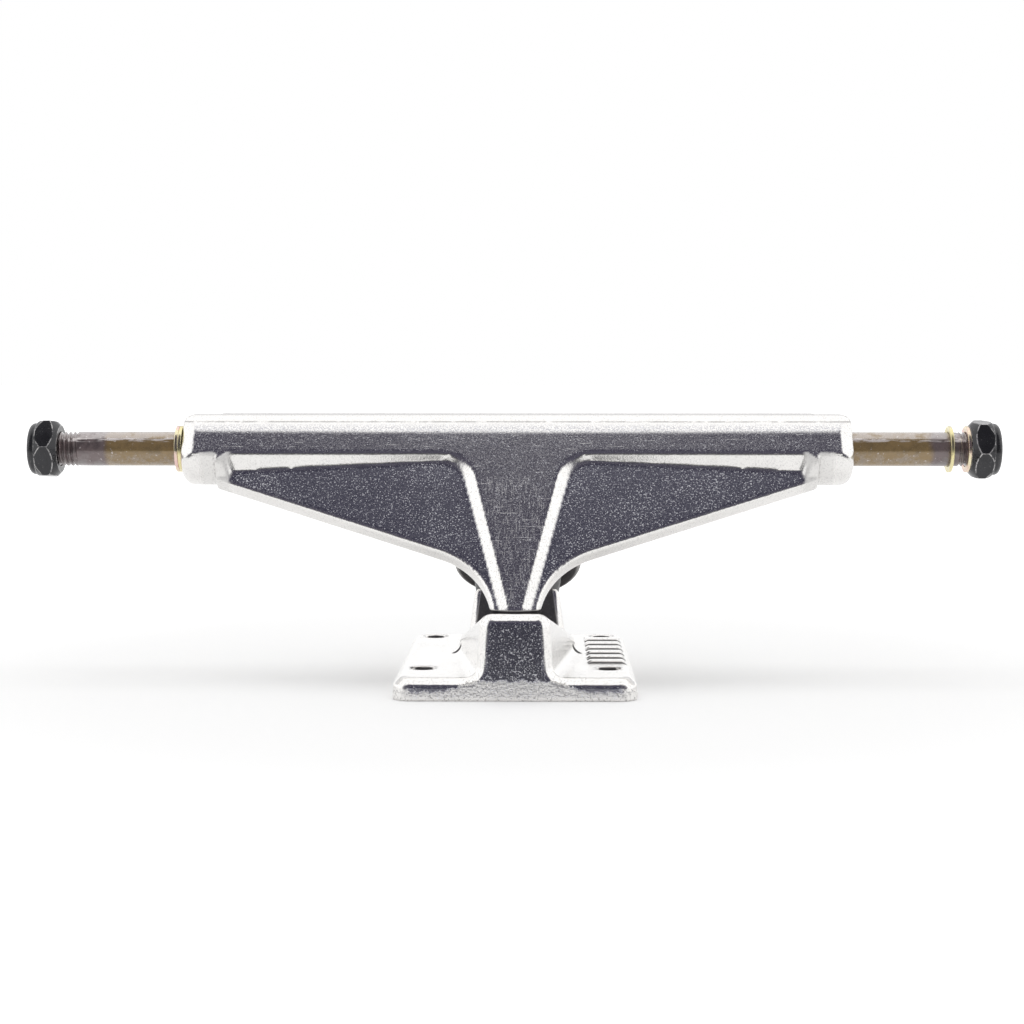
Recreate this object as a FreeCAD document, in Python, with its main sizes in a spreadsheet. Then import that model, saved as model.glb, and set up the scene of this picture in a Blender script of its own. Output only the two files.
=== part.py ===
import FreeCAD, Part
import math
import os

import Sketcher

# Skateboard truck standing on its baseplate, hanger on top.
# Millimetres. The origin is the centre of the deck bolt pattern on the baseplate's underside,
# +X runs along the axle, +Y from the pivot to the kingpin, and +Z up.
# The kingpin leans towards +Y. Its frame has its origin where the kingpin's axis meets the
# underside, its own Z along the kingpin and its own Y across it, away from the pivot.

# Driving dimensions: name, value and meaning. Lengths are in millimetres, angles in degrees.
SIZES = (
    # Baseplate
    ("deck_spacing_x", 41.28, "deck holes, centre to centre across the truck"),
    ("deck_spacing_y", 53.98, "deck holes, centre to centre along the board"),
    ("deck_hole_diameter", 5.5, "clearance hole for a 10-32 deck bolt"),
    ("plate_width", 53.6, "baseplate, left to right"),
    ("plate_front_margin", 16.2, "plate ahead of the front holes"),
    ("plate_rear_margin", 7.0, "plate behind the rear holes"),
    ("plate_thickness", 5.0, "flange of the baseplate"),
    ("plate_corner_radius", 4.5, "corners of the flange seen from above"),
    ("rim_bevel", 1.6, "bevelled front and upper rim of the baseplate"),
    ("cast_draft", 4.0, "draft of the casting's upright walls, degrees"),
    ("rib_length", 8.0, "raised rib on the right-hand flange, across the truck"),
    ("rib_width", 3.2, "raised rib, along the board"),
    ("rib_height", 0.5, "raised rib above the flange"),
    ("rib_pitch", 7.6, "raised ribs, centre to centre"),
    ("rib_centre_y", 1.8, "middle of the row of ribs along the board"),
    # Pivot housing and pivot cup
    ("housing_height", 18.8, "front upper edge of the pivot housing"),
    ("housing_front_width", 16.8, "housing at the front wall, at the underside"),
    ("housing_rear_width", 27.6, "rear end of the housing, beside the kingpin boss"),
    ("housing_rear_y", 1.0, "rear end of the housing along the board"),
    ("housing_edge_radius", 2.6, "upper edges of the housing along the board"),
    ("housing_foot_radius", 2.4, "fillet from the housing to the flange"),
    ("pivot_tilt", 12.0, "lean of the pivot cup's axis towards the kingpin, degrees"),
    ("pivot_y", -33.5, "ball centre along the board"),
    ("pivot_height", 11.5, "ball centre above the underside"),
    ("ball_radius", 4.5, "pivot ball of the hanger"),
    ("ball_gap", 0.1, "running gap between ball and cup"),
    ("cup_floor", 1.8, "cup under the ball"),
    ("cup_outer_radius", 7.2, "outside of the pivot cup"),
    ("cup_mouth_radius", 6.5, "inside of the pivot cup at its mouth"),
    ("cup_lip", 0.3, "pivot cup above the housing"),
    # Kingpin boss and kingpin
    ("kingpin_foot_y", -6.2, "where the kingpin's axis meets the underside"),
    ("kingpin_lean", 36.0, "kingpin's lean from upright, degrees"),
    ("boss_width", 25.2, "kingpin boss at the underside, left to right"),
    ("boss_front_y", -7.5, "front wall of the boss at the underside"),
    ("boss_rear_y", 17.5, "rear wall of the boss at the underside"),
    ("boss_corner_radius", 4.0, "upright corners of the boss"),
    ("boss_draft", 8.0, "draft of the boss walls, degrees"),
    ("seat_reach", 17.7, "bushing seat from the underside, along the kingpin"),
    ("seat_floor", 7.1, "metal between the bushing seat and the kingpin's head"),
    ("kingpin_diameter", 9.525, "kingpin, 3/8 inch"),
    ("kingpin_head_flats", 14.29, "kingpin's head across flats"),
    ("kingpin_head_height", 4.6, "kingpin's head"),
    ("kingpin_thread_length", 13.0, "threaded end of the kingpin"),
    ("kingpin_past_nut", 1.5, "kingpin beyond its nut"),
    ("thread_pitch", 1.0583, "24 threads per inch on kingpin and axle"),
    ("thread_depth", 0.6, "depth of the thread"),
    ("fit_gap", 0.05, "radial gap where one fixed piece sits in another"),
    # Bushings, their washers and the kingpin's nut
    ("bottom_washer_radius", 9.5, "washer on the bushing seat"),
    ("bottom_washer_thickness", 1.2, "washer on the bushing seat"),
    ("bottom_bushing_height", 13.9, "bushing under the hanger's ring"),
    ("bottom_bushing_foot_radius", 9.3, "narrow end, on its washer"),
    ("bottom_bushing_head_radius", 11.4, "wide end, in the hanger's ring"),
    ("top_bushing_height", 11.6, "bushing above the hanger's ring"),
    ("top_bushing_foot_radius", 11.0, "wide end, in the hanger's ring"),
    ("top_bushing_head_radius", 8.6, "narrow end, under its washer"),
    ("bushing_edge_radius", 1.0, "rounded rims of the bushings"),
    ("bushing_gap", 0.2, "radial gap round the kingpin and in the ring's recess"),
    ("top_washer_radius", 10.8, "cupped washer"),
    ("top_washer_thickness", 1.4, "cupped washer"),
    ("top_washer_rise", 1.4, "turned-down rim of the cupped washer"),
    ("nut_gap", 0.08, "radial gap between a nut or speed washer and its shaft"),
    ("kingpin_nut_flats", 14.29, "kingpin's nut across flats"),
    ("kingpin_nut_hex", 6.0, "height of the hexagon"),
    ("kingpin_nut_collar", 2.6, "height of the collar over the hexagon"),
    # Axle, its nuts and speed washers
    ("axle_y", -4.5, "axle's centre along the board"),
    ("axle_height", 53.0, "axle's centre above the underside"),
    ("axle_diameter", 7.94, "axle, 5/16 inch"),
    ("axle_length", 222.25, "axle, end to end"),
    ("axle_thread_length", 9.4, "threaded ends of the axle"),
    ("axle_end_chamfer", 0.8, "chamfer on each end of the axle"),
    ("axle_nut_flats", 12.7, "axle nut across flats"),
    ("axle_nut_hex", 5.2, "width of the hexagon along the axle"),
    ("axle_nut_collar", 1.8, "width of the collar beside the hexagon"),
    ("left_nut_past_end", 2.1, "left nut beyond the axle's end"),
    ("right_nut_past_end", 0.4, "right nut beyond the axle's end"),
    ("nut_turn", 6.0, "turn of the axle nuts away from corner forward, degrees"),
    ("nut_face_inset", 0.9, "bearing face inside the hexagon's flats"),
    ("nut_foot_bevel", 45.0, "bevel of the hexagon round its bearing face, degrees"),
    ("nut_top_bevel", 60.0, "bevel of the hexagon's corners under the collar, degrees"),
    ("nut_collar_inset", 0.35, "collar inside the hexagon's flats"),
    ("nut_collar_rounding", 1.2, "rounded rim of the collar"),
    ("nut_lip", 0.5, "lip over the nylon locking ring"),
    ("insert_wall", 0.9, "radial width of a nylon locking ring"),
    ("insert_height", 2.2, "height of a nylon locking ring"),
    ("speed_washer_diameter", 10.8, "speed washer"),
    ("speed_washer_thickness", 0.8, "speed washer"),
    ("loose_washer_gap", 4.8, "inner face of the loose speed washer from the right nut"),
    # Hanger
    ("hanger_width", 154.94, "hanger, end to end"),
    ("end_radius", 8.4, "round ends of the hanger, about the axle"),
    ("end_length", 8.4, "length of each round end"),
    ("end_rounding", 2.8, "rounded rim of each end face"),
    ("end_bevel", 3.0, "bevel from the front face to each end face, along the beam"),
    ("end_bevel_angle", 30.0, "the same bevel from the front face, degrees"),
    ("end_flare", 5.0, "length over which the beam swells into its round end"),
    ("end_root_radius", 6.3, "round end where it leaves the beam"),
    ("face_depth", 6.5, "front face of the hanger ahead of the axle"),
    ("beam_rise", 8.3, "top of the beam above the axle"),
    ("beam_front_radius", 11.0, "rounded upper front edge of the beam"),
    ("beam_back_depth", 8.4, "back of the beam behind the axle"),
    ("beam_back_radius", 4.4, "rounded back edges of the beam"),
    ("beam_drop", 8.3, "underside of the beam below the axle"),
    ("bar_drop", 5.15, "lower edge of the front bar, below the axle along the face"),
    ("bar_end_drop", 7.5, "the same edge at the bar's outer end"),
    ("bar_tip_inset", 2.8, "end of the bar's straight lower edge, from the beam's end"),
    ("bar_bevel", 42.6, "bevel under the bar, from the face's normal, degrees"),
    ("wing_recess", 1.1, "wings behind the front face, in the middle"),
    ("wing_sweep", 2.1, "wings swept back from the middle, degrees"),
    ("wing_thickness", 5.5, "wings, front to back"),
    ("wing_edge_radius", 0.9, "front rim of the wings"),
    ("wing_back_radius", 2.2, "back rim of the wings"),
    ("wing_tip_drop", 10.4, "lower edge of a wing at its tip, below the axle along the face"),
    ("crotch_half", 7.6, "where the wing's edge and the neck's side would meet, from the middle"),
    ("crotch_rise", 16.4, "the same point above the ball's centre along the face"),
    ("crotch_radius", 18.0, "curve from the wing's edge into the neck's side"),
    ("neck_foot_half", 5.0, "half of the neck at its foot"),
    ("neck_foot_rise", 3.6, "foot of the neck above the ball's centre along the face"),
    ("neck_face_top_half", 10.8, "front face of the neck under the bar, half"),
    ("neck_face_foot_half", 1.1, "front face of the neck at its foot, half"),
    ("neck_face_corner_radius", 8.4, "curve from the bar's edge into the neck's edge"),
    ("neck_bevel_top", 55.0, "bevel beside the neck, at its top, from the face's normal"),
    ("neck_bevel_foot", 64.0, "the same bevel at the neck's foot, degrees"),
    ("panel_tip_inset", 3.2, "tip of the recessed panel, from the beam's end"),
    ("panel_tip_drop", 10.5, "tip of the recessed panel below the axle along the face"),
    ("panel_shoulder_inset", 4.2, "outer end of the panel's upper edge, from the beam's end"),
    ("panel_corner_radius", 5.8, "upper inner corner of the panel"),
    ("panel_overlap", 0.15, "foot of the panel's bevels inside the wings"),
    ("web_half", 4.6, "half thickness of the web behind the neck"),
    ("web_clearance", 1.8, "web from the bottom bushing"),
    ("web_foot_depth", 3.8, "web behind the wings at the neck's foot"),
    ("arm_half", 12.5, "half width of the arm from the beam to the ring"),
    ("arm_thickness", 6.5, "arm, along the kingpin"),
    ("ring_radius", 15.3, "ring round the kingpin"),
    ("ring_thickness", 9.3, "ring, along the kingpin"),
    ("ring_bore_radius", 6.6, "hole in the ring round the kingpin"),
    ("ring_edge_radius", 1.6, "rims of the ring"),
    ("lower_recess_depth", 3.3, "seat of the bottom bushing in the ring"),
    ("recess_depth", 2.0, "seat of the top bushing in the ring"),
    ("stub_radius", 4.8, "pivot stub above the ball"),
    ("stub_top_radius", 4.9, "pivot stub where the neck starts"),
    ("stub_length", 5.6, "stub from the ball's centre"),
    ("neck_start_length", 6.7, "neck's start from the ball's centre"),
    # Shared
    ("overrun", 20.0, "how far cutting shapes run past the metal"),
)
RIB_COUNT = 6
HALF = 0.5


class Size:
    """A number together with the sheet expression that gives it."""

    def __init__(self, value, text):
        self.value = value
        self.text = text

    def joined(self, other, sign, value):
        return Size(value, "(%s %s %s)" % (self.text, sign, as_size(other).text))

    def __add__(self, other):
        return self.joined(other, "+", self.value + as_size(other).value)

    def __sub__(self, other):
        return self.joined(other, "-", self.value - as_size(other).value)

    def __mul__(self, other):
        return self.joined(other, "*", self.value * as_size(other).value)

    def __truediv__(self, other):
        return self.joined(other, "/", self.value / as_size(other).value)

    def __radd__(self, other):
        return as_size(other) + self

    def __rsub__(self, other):
        return as_size(other) - self

    def __rmul__(self, other):
        return as_size(other) * self

    def __neg__(self):
        return Size(-self.value, "(-1 * %s)" % self.text)


def as_size(number):
    if isinstance(number, Size):
        return number
    return Size(float(number), repr(number))


RIGHT_ANGLE = Size(90.0, "90")


def sine(angle):
    return Size(math.sin(math.radians(angle.value)), "sin(%s)" % angle.text)


def cosine(angle):
    return Size(math.cos(math.radians(angle.value)), "cos(%s)" % angle.text)


def tangent(angle):
    return Size(math.tan(math.radians(angle.value)), "tan(%s)" % angle.text)


class Sheet:
    """The driving dimensions, each as a Size under its own name."""

    def __init__(self, doc):
        sheet = doc.addObject("Spreadsheet::Sheet", "sizes")
        for row, (name, value, meaning) in enumerate(SIZES, start=1):
            sheet.set("A%d" % row, str(value))
            sheet.setAlias("A%d" % row, name)
            sheet.set("B%d" % row, meaning)
            setattr(self, name, Size(value, "sizes." + name))


doc = FreeCAD.newDocument("truck")
s = Sheet(doc)
doc.recompute()
bodies = []


def bind(thing, prop, size):
    thing.setExpression(prop, as_size(size).text)


def new_body(label, base=(0, 0, 0), tilt=None, axis=(-1, 0, 0)):
    """A body turned by tilt degrees about axis; as given, its Z leans from upright to +Y."""
    body = doc.addObject("PartDesign::Body", label)
    body.Label = label
    if tilt is not None:
        body.Placement = FreeCAD.Placement(
            FreeCAD.Vector(0, 0, 0), FreeCAD.Rotation(FreeCAD.Vector(*axis), tilt.value))
        bind(body, "Placement.Rotation.Angle", tilt)
    for letter, size in zip("xyz", base):
        bind(body, "Placement.Base." + letter, size)
    bodies.append(body)
    return body


def new_sketch(body, name, plane, shift=(0, 0, 0), turn=None, turn_axis=(0, 0, 1)):
    """A sketch on one of the body's own planes, moved by shift and turned about turn_axis."""
    sketch = body.newObject("Sketcher::SketchObject", name)
    support = [f for f in body.Origin.OriginFeatures if f.Role == plane][0]
    sketch.AttachmentSupport = [(support, "")]
    sketch.MapMode = "FlatFace"
    if turn is not None:
        sketch.AttachmentOffset = FreeCAD.Placement(
            FreeCAD.Vector(0, 0, 0), FreeCAD.Rotation(FreeCAD.Vector(*turn_axis), turn.value))
        bind(sketch, "AttachmentOffset.Rotation.Angle", turn)
    for letter, size in zip("xyz", shift):
        bind(sketch, "AttachmentOffset.Base." + letter, size)
    return sketch


def fix_point(sketch, item, end, across, up):
    for kind, size in (("DistanceX", across), ("DistanceY", up)):
        index = sketch.addConstraint(
            Sketcher.Constraint(kind, -1, 1, item, end, as_size(size).value))
        sketch.setExpression("Constraints[%d]" % index, as_size(size).text)


def draw_circle(sketch, radius, across=0, up=0):
    centre = FreeCAD.Vector(as_size(across).value, as_size(up).value, 0)
    circle = sketch.addGeometry(Part.Circle(centre, FreeCAD.Vector(0, 0, 1), radius.value), False)
    index = sketch.addConstraint(Sketcher.Constraint("Radius", circle, radius.value))
    sketch.setExpression("Constraints[%d]" % index, radius.text)
    fix_point(sketch, circle, 3, across, up)


def draw_outline(sketch, corners):
    """A closed outline through corners, each (across, up), or (across, up, radius) if rounded."""
    count = len(corners)
    points = [FreeCAD.Vector(as_size(c[0]).value, as_size(c[1]).value, 0) for c in corners]
    leave = []
    arrive = []
    arcs = []
    for i, corner in enumerate(corners):
        here = points[i]
        back = (points[i - 1] - here).normalize()
        ahead = (points[(i + 1) % count] - here).normalize()
        if len(corner) < 3:
            arrive.append(here)
            leave.append(here)
            arcs.append(None)
            continue
        half = HALF * back.getAngle(ahead)
        reach = corner[2].value / math.tan(half)
        centre = here + (back + ahead).normalize() * (corner[2].value / math.sin(half))
        arrive.append(here + back * reach)
        leave.append(here + ahead * reach)
        left_turn = ahead.cross(back).z > 0
        ends = (arrive[i], leave[i]) if left_turn else (leave[i], arrive[i])
        first, last = [math.atan2(p.y - centre.y, p.x - centre.x) for p in ends]
        circle = Part.Circle(centre, FreeCAD.Vector(0, 0, 1), corner[2].value)
        arcs.append((Part.ArcOfCircle(circle, first, last), 1 if left_turn else 2))
    lines = [
        sketch.addGeometry(Part.LineSegment(leave[i], arrive[(i + 1) % count]), False)
        for i in range(count)
    ]
    for i, corner in enumerate(corners):
        before = lines[i - 1]
        after = lines[i]
        if arcs[i] is None:
            sketch.addConstraint(Sketcher.Constraint("Coincident", before, 2, after, 1))
            fix_point(sketch, after, 1, corner[0], corner[1])
            continue
        apex = sketch.addGeometry(Part.Point(points[i]), True)
        fix_point(sketch, apex, 1, corner[0], corner[1])
        arc = sketch.addGeometry(arcs[i][0], False)
        first = arcs[i][1]
        sketch.addConstraint(Sketcher.Constraint("PointOnObject", apex, 1, before))
        sketch.addConstraint(Sketcher.Constraint("PointOnObject", apex, 1, after))
        sketch.addConstraint(Sketcher.Constraint("Tangent", before, 2, arc, first))
        sketch.addConstraint(Sketcher.Constraint("Tangent", arc, 3 - first, after, 1))
        index = sketch.addConstraint(Sketcher.Constraint("Radius", arc, corner[2].value))
        sketch.setExpression("Constraints[%d]" % index, corner[2].text)


def feature(body, kind, name, sketch=None):
    made = body.newObject("PartDesign::" + kind, name)
    if sketch is not None:
        made.Profile = sketch
        sketch.Visibility = False
    body.Tip = made
    return made


def pad(body, name, sketch, length, both_ways=False, reverse=False, draft=None):
    made = feature(body, "Pad", name, sketch)
    bind(made, "Length", length)
    made.SideType = "Symmetric" if both_ways else "One side"
    made.Reversed = reverse
    if draft is not None:
        bind(made, "TaperAngle", -draft)
    return made


def pocket(body, name, sketch, length, both_ways=False, reverse=False):
    made = feature(body, "Pocket", name, sketch)
    bind(made, "Length", length)
    made.SideType = "Symmetric" if both_ways else "One side"
    made.Reversed = reverse
    return made


def loft(body, name, sections, cut=False):
    made = feature(body, "SubtractiveLoft" if cut else "AdditiveLoft", name, sections[0])
    made.Sections = sections[1:]
    made.Ruled = True
    return made


def turned(body, name, sketch, axis="V_Axis", cut=False):
    made = feature(body, "Groove" if cut else "Revolution", name, sketch)
    made.ReferenceAxis = (sketch, [axis])
    made.Angle = 360
    return made


def soften_edges(body, name, kind, size, wanted):
    """Rounds or bevels the edges of the body so far that satisfy wanted."""
    doc.recompute()
    base = body.Tip
    names = [
        "Edge%d" % (i + 1) for i, edge in enumerate(base.Shape.Edges)
        if not edge.Degenerated and wanted(edge)
    ]
    if not names:
        raise ValueError("no edges found for " + name)
    made = body.newObject("PartDesign::" + kind, name)
    made.Base = (base, names)
    bind(made, "Radius" if kind == "Fillet" else "Size", size)
    body.Tip = made
    doc.recompute()


def middle(edge):
    first, last = edge.ParameterRange
    return edge.valueAt(HALF * (first + last))


# Places shared by several pieces

lean_cos = cosine(s.kingpin_lean)
lean_sin = sine(s.kingpin_lean)


def across_kingpin(y, z):
    """A point's place across the kingpin, in the kingpin's frame."""
    return (y - s.kingpin_foot_y) * lean_cos - z * lean_sin


def along_kingpin(y, z):
    """A point's place along the kingpin, in the kingpin's frame."""
    return (y - s.kingpin_foot_y) * lean_sin + z * lean_cos


plate_front = -(s.deck_spacing_y * HALF + s.plate_front_margin)
plate_rear = s.deck_spacing_y * HALF + s.plate_rear_margin
plate_half = s.plate_width * HALF
hanger_half = s.hanger_width * HALF
axle_half = s.axle_length * HALF
axle_radius = s.axle_diameter * HALF
kingpin_radius = s.kingpin_diameter * HALF
kingpin_foot = (0, s.kingpin_foot_y, 0)

seat = s.seat_reach
head_seat = seat - s.seat_floor
bottom_bushing_foot = seat + s.bottom_washer_thickness
ring_foot = bottom_bushing_foot + s.bottom_bushing_height - s.lower_recess_depth
ring_head = ring_foot + s.ring_thickness
top_bushing_foot = ring_head - s.recess_depth
top_washer_foot = top_bushing_foot + s.top_bushing_height
kingpin_nut_foot = top_washer_foot + s.top_washer_thickness
kingpin_nut_head = kingpin_nut_foot + s.kingpin_nut_hex + s.kingpin_nut_collar
kingpin_end = kingpin_nut_head + s.kingpin_past_nut

axle_across = across_kingpin(s.axle_y, s.axle_height)
axle_along = along_kingpin(s.axle_y, s.axle_height)
pivot_across = across_kingpin(s.pivot_y, s.pivot_height)
pivot_along = along_kingpin(s.pivot_y, s.pivot_height)


def housing_top(y):
    """Height of the pivot housing's sloping top."""
    return s.housing_height - (y - plate_front) * tangent(s.pivot_tilt)


cup_depth = s.ball_radius + s.ball_gap + s.cup_floor
cup_mouth = (housing_top(s.pivot_y) - s.pivot_height) * cosine(s.pivot_tilt)


def housing_section(body, y, lean, half, height, inset):
    """Section of the pivot housing and the flange under it, drawn in by inset all round."""
    section = new_sketch(body, "housing_section", "XZ_Plane", shift=(0, 0, -y),
                         turn=None if lean is None else -lean, turn_axis=(1, 0, 0))
    slope = 1 if lean is None else cosine(lean)
    wide = plate_half - s.plate_corner_radius
    top_half = half - (height - s.plate_thickness) * tangent(s.cast_draft) - inset
    half = half - inset
    top = (height - inset) / slope
    step = (s.plate_thickness - inset) / slope
    draw_outline(section, [
        (-wide, 0),
        (wide, 0),
        (wide, step),
        (half, step, s.housing_foot_radius + inset),
        (top_half, top, s.housing_edge_radius - inset),
        (-top_half, top, s.housing_edge_radius - inset),
        (-half, step, s.housing_foot_radius + inset),
        (-wide, step),
    ])
    return section


# Baseplate: flange, pivot housing and kingpin boss in one casting
def make_baseplate():
    body = new_body("baseplate")
    flange = new_sketch(body, "flange_outline", "XY_Plane")
    draw_outline(flange, [
        (-plate_half, plate_front, s.plate_corner_radius),
        (plate_half, plate_front, s.plate_corner_radius),
        (plate_half, plate_rear, s.plate_corner_radius),
        (-plate_half, plate_rear, s.plate_corner_radius),
    ])
    pad(body, "flange", flange, s.plate_thickness, draft=s.cast_draft)
    soften_edges(body, "flange_rim", "Chamfer", s.rim_bevel,
                 lambda edge: edge.BoundBox.ZMin > s.plate_thickness.value - s.fit_gap.value)

    front_half = s.housing_front_width * HALF
    loft(body, "housing", [
        housing_section(body, plate_front, s.cast_draft, front_half, s.housing_height,
                        s.rim_bevel),
        housing_section(body, plate_front + s.rim_bevel, s.cast_draft, front_half,
                        s.housing_height, 0),
        housing_section(body, s.housing_rear_y, None, s.housing_rear_width * HALF,
                        housing_top(s.housing_rear_y), 0),
    ])
    boss = new_sketch(body, "boss_outline", "XY_Plane")
    half = s.boss_width * HALF
    draw_outline(boss, [
        (-half, s.boss_front_y, s.boss_corner_radius),
        (half, s.boss_front_y, s.boss_corner_radius),
        (half, s.boss_rear_y, s.boss_corner_radius),
        (-half, s.boss_rear_y, s.boss_corner_radius),
    ])
    pad(body, "boss", boss, s.housing_height + s.plate_thickness, draft=s.boss_draft)

    seat_y = s.kingpin_foot_y + seat * lean_sin
    seat_z = seat * lean_cos
    fall = tangent(s.kingpin_lean)
    level_y = seat_y + (seat_z - s.plate_thickness) / fall
    above = new_sketch(body, "seat_outline", "YZ_Plane")
    draw_outline(above, [
        (s.pivot_y, seat_z + (seat_y - s.pivot_y) * fall),
        (level_y, s.plate_thickness),
        (plate_rear, s.plate_thickness),
        (plate_rear, seat_z + (seat_y - s.pivot_y) * fall),
    ])
    pocket(body, "seat", above, s.plate_width, both_ways=True)

    cup_hole = new_sketch(body, "cup_hole_outline", "YZ_Plane", turn=-s.pivot_tilt,
                          shift=(s.pivot_y, s.pivot_height, 0))
    hole = s.cup_outer_radius + s.fit_gap
    draw_outline(cup_hole, [
        (0, -cup_depth), (hole, -cup_depth), (hole, s.housing_height), (0, s.housing_height),
    ])
    turned(body, "cup_hole", cup_hole, cut=True)

    shank_hole = new_sketch(body, "shank_hole_outline", "YZ_Plane", turn=-s.kingpin_lean,
                            shift=(s.kingpin_foot_y, 0, 0))
    hole = kingpin_radius + s.fit_gap
    draw_outline(shank_hole, [
        (0, 0), (hole, 0), (hole, seat + s.overrun), (0, seat + s.overrun),
    ])
    turned(body, "shank_hole", shank_hole, cut=True)
    head_hole = new_sketch(
        body, "head_hole_outline", "XY_Plane", turn=-s.kingpin_lean, turn_axis=(1, 0, 0),
        shift=(0, s.kingpin_foot_y + head_seat * lean_sin, head_seat * lean_cos))
    draw_hexagon(head_hole, s.kingpin_head_flats + s.fit_gap)
    pocket(body, "head_hole", head_hole, s.overrun)

    for x in (-s.deck_spacing_x * HALF, s.deck_spacing_x * HALF):
        for y in (-s.deck_spacing_y * HALF, s.deck_spacing_y * HALF):
            hole = new_sketch(body, "deck_hole", "XY_Plane")
            draw_circle(hole, s.deck_hole_diameter * HALF, x, y)
            pocket(body, "deck_hole_cut", hole, s.overrun, both_ways=True)

    rib_first = s.rib_centre_y - s.rib_pitch * (RIB_COUNT - 1) * HALF
    rib_inner = (s.deck_spacing_x - s.rib_length) * HALF
    rib = new_sketch(body, "rib_outline", "XY_Plane", shift=(0, 0, s.plate_thickness))
    draw_outline(rib, [
        (rib_inner, rib_first - s.rib_width * HALF),
        (rib_inner + s.rib_length, rib_first - s.rib_width * HALF),
        (rib_inner + s.rib_length, rib_first + s.rib_width * HALF),
        (rib_inner, rib_first + s.rib_width * HALF),
    ])
    first_rib = pad(body, "rib", rib, s.rib_height)
    ribs = body.newObject("PartDesign::LinearPattern", "ribs")
    ribs.Originals = [first_rib]
    ribs.Direction = (rib, ["V_Axis"])
    bind(ribs, "Length", s.rib_pitch * (RIB_COUNT - 1))
    ribs.Occurrences = RIB_COUNT
    body.Tip = ribs


def draw_hexagon(sketch, flats, turn=None):
    """A hexagon about the sketch's origin, its first corner on the across axis or turned."""
    reach = flats * HALF / cosine(Size(30.0, "30"))
    corners = []
    for step in range(6):
        angle = Size(60.0 * step, repr(60.0 * step))
        if turn is not None:
            angle = angle + turn
        corners.append((reach * cosine(angle), reach * sine(angle)))
    draw_outline(sketch, corners)


def lathe(label, outline, base=(0, 0, 0), tilt=None, axis=(-1, 0, 0)):
    """A turned piece: its half section as (radius, height) corners, about its own Z."""
    body = new_body(label, base, tilt, axis)
    section = new_sketch(body, label + "_section", "XZ_Plane")
    draw_outline(section, outline)
    turned(body, label + "_turned", section)
    return body


# Pivot cup: plastic liner of the pivot housing, round the ball and open above it
def make_pivot_cup():
    inner = s.ball_radius + s.ball_gap
    outer = s.cup_outer_radius
    top = cup_mouth + s.cup_lip
    body = lathe("pivot_cup", [
        (0, -cup_depth), (outer, -cup_depth), (outer, top), (0, top),
    ], (0, s.pivot_y, s.pivot_height), s.pivot_tilt)
    bind(feature(body, "SubtractiveSphere", "bowl"), "Radius", inner)
    mouth = new_sketch(body, "mouth_outline", "XZ_Plane")
    draw_outline(mouth, [
        (0, 0), (inner, 0), (s.cup_mouth_radius, top), (0, top),
    ])
    turned(body, "mouth", mouth, cut=True)


def cut_threads(body, label, radius, start, length, axis):
    """V grooves cut round a shaft from start over length, one per pitch."""
    count = int(length.value / s.thread_pitch.value)
    half = s.thread_pitch * HALF
    groove = new_sketch(body, label + "_outline", "XZ_Plane")
    corners = [(radius - s.thread_depth, start + half), (radius + s.thread_depth, start),
               (radius + s.thread_depth, start + s.thread_pitch)]
    if axis == "H_Axis":
        corners = [(along, across) for across, along in corners]
    draw_outline(groove, corners)
    first = turned(body, label, groove, axis=axis, cut=True)
    rest = body.newObject("PartDesign::LinearPattern", label + "_turns")
    rest.Originals = [first]
    rest.Direction = (groove, [axis])
    bind(rest, "Length", s.thread_pitch * (count - 1))
    rest.Occurrences = count
    body.Tip = rest


# Kingpin: bolt pressed into the boss from below, its hexagonal head in the underside
def make_kingpin():
    top = kingpin_end
    bevel = s.thread_depth
    body = lathe("kingpin", [
        (0, head_seat), (kingpin_radius, head_seat), (kingpin_radius, top - bevel),
        (kingpin_radius - bevel, top), (0, top),
    ], kingpin_foot, s.kingpin_lean)
    head = new_sketch(body, "head_outline", "XY_Plane", shift=(0, 0, head_seat))
    draw_hexagon(head, s.kingpin_head_flats)
    pad(body, "head", head, s.kingpin_head_height, reverse=True)
    cut_threads(body, "thread", kingpin_radius, top - bevel - s.kingpin_thread_length,
                s.kingpin_thread_length, "V_Axis")


# Bushings and washers of the kingpin, in order from the seat
def make_kingpin_stack():
    bore = kingpin_radius + s.bushing_gap
    thick = s.bottom_washer_thickness
    lathe("bottom_washer", [
        (bore, seat), (s.bottom_washer_radius, seat), (s.bottom_washer_radius, seat + thick),
        (bore, seat + thick),
    ], kingpin_foot, s.kingpin_lean)
    for label, foot, height, foot_radius, head_radius in (
            ("bottom_bushing", bottom_bushing_foot, s.bottom_bushing_height,
             s.bottom_bushing_foot_radius, s.bottom_bushing_head_radius),
            ("top_bushing", top_bushing_foot, s.top_bushing_height,
             s.top_bushing_foot_radius, s.top_bushing_head_radius)):
        lathe(label, [
            (bore, foot),
            (foot_radius, foot, s.bushing_edge_radius),
            (head_radius, foot + height, s.bushing_edge_radius),
            (bore, foot + height),
        ], kingpin_foot, s.kingpin_lean)
    foot = top_washer_foot
    thick = s.top_washer_thickness
    outer = s.top_washer_radius
    flat = s.top_bushing_head_radius + s.bushing_gap
    lathe("top_washer", [
        (bore, foot), (flat, foot), (outer - thick * HALF, foot - s.top_washer_rise),
        (outer, foot - s.top_washer_rise + thick * HALF), (flat + thick * HALF, foot + thick),
        (bore, foot + thick),
    ], kingpin_foot, s.kingpin_lean)


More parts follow.
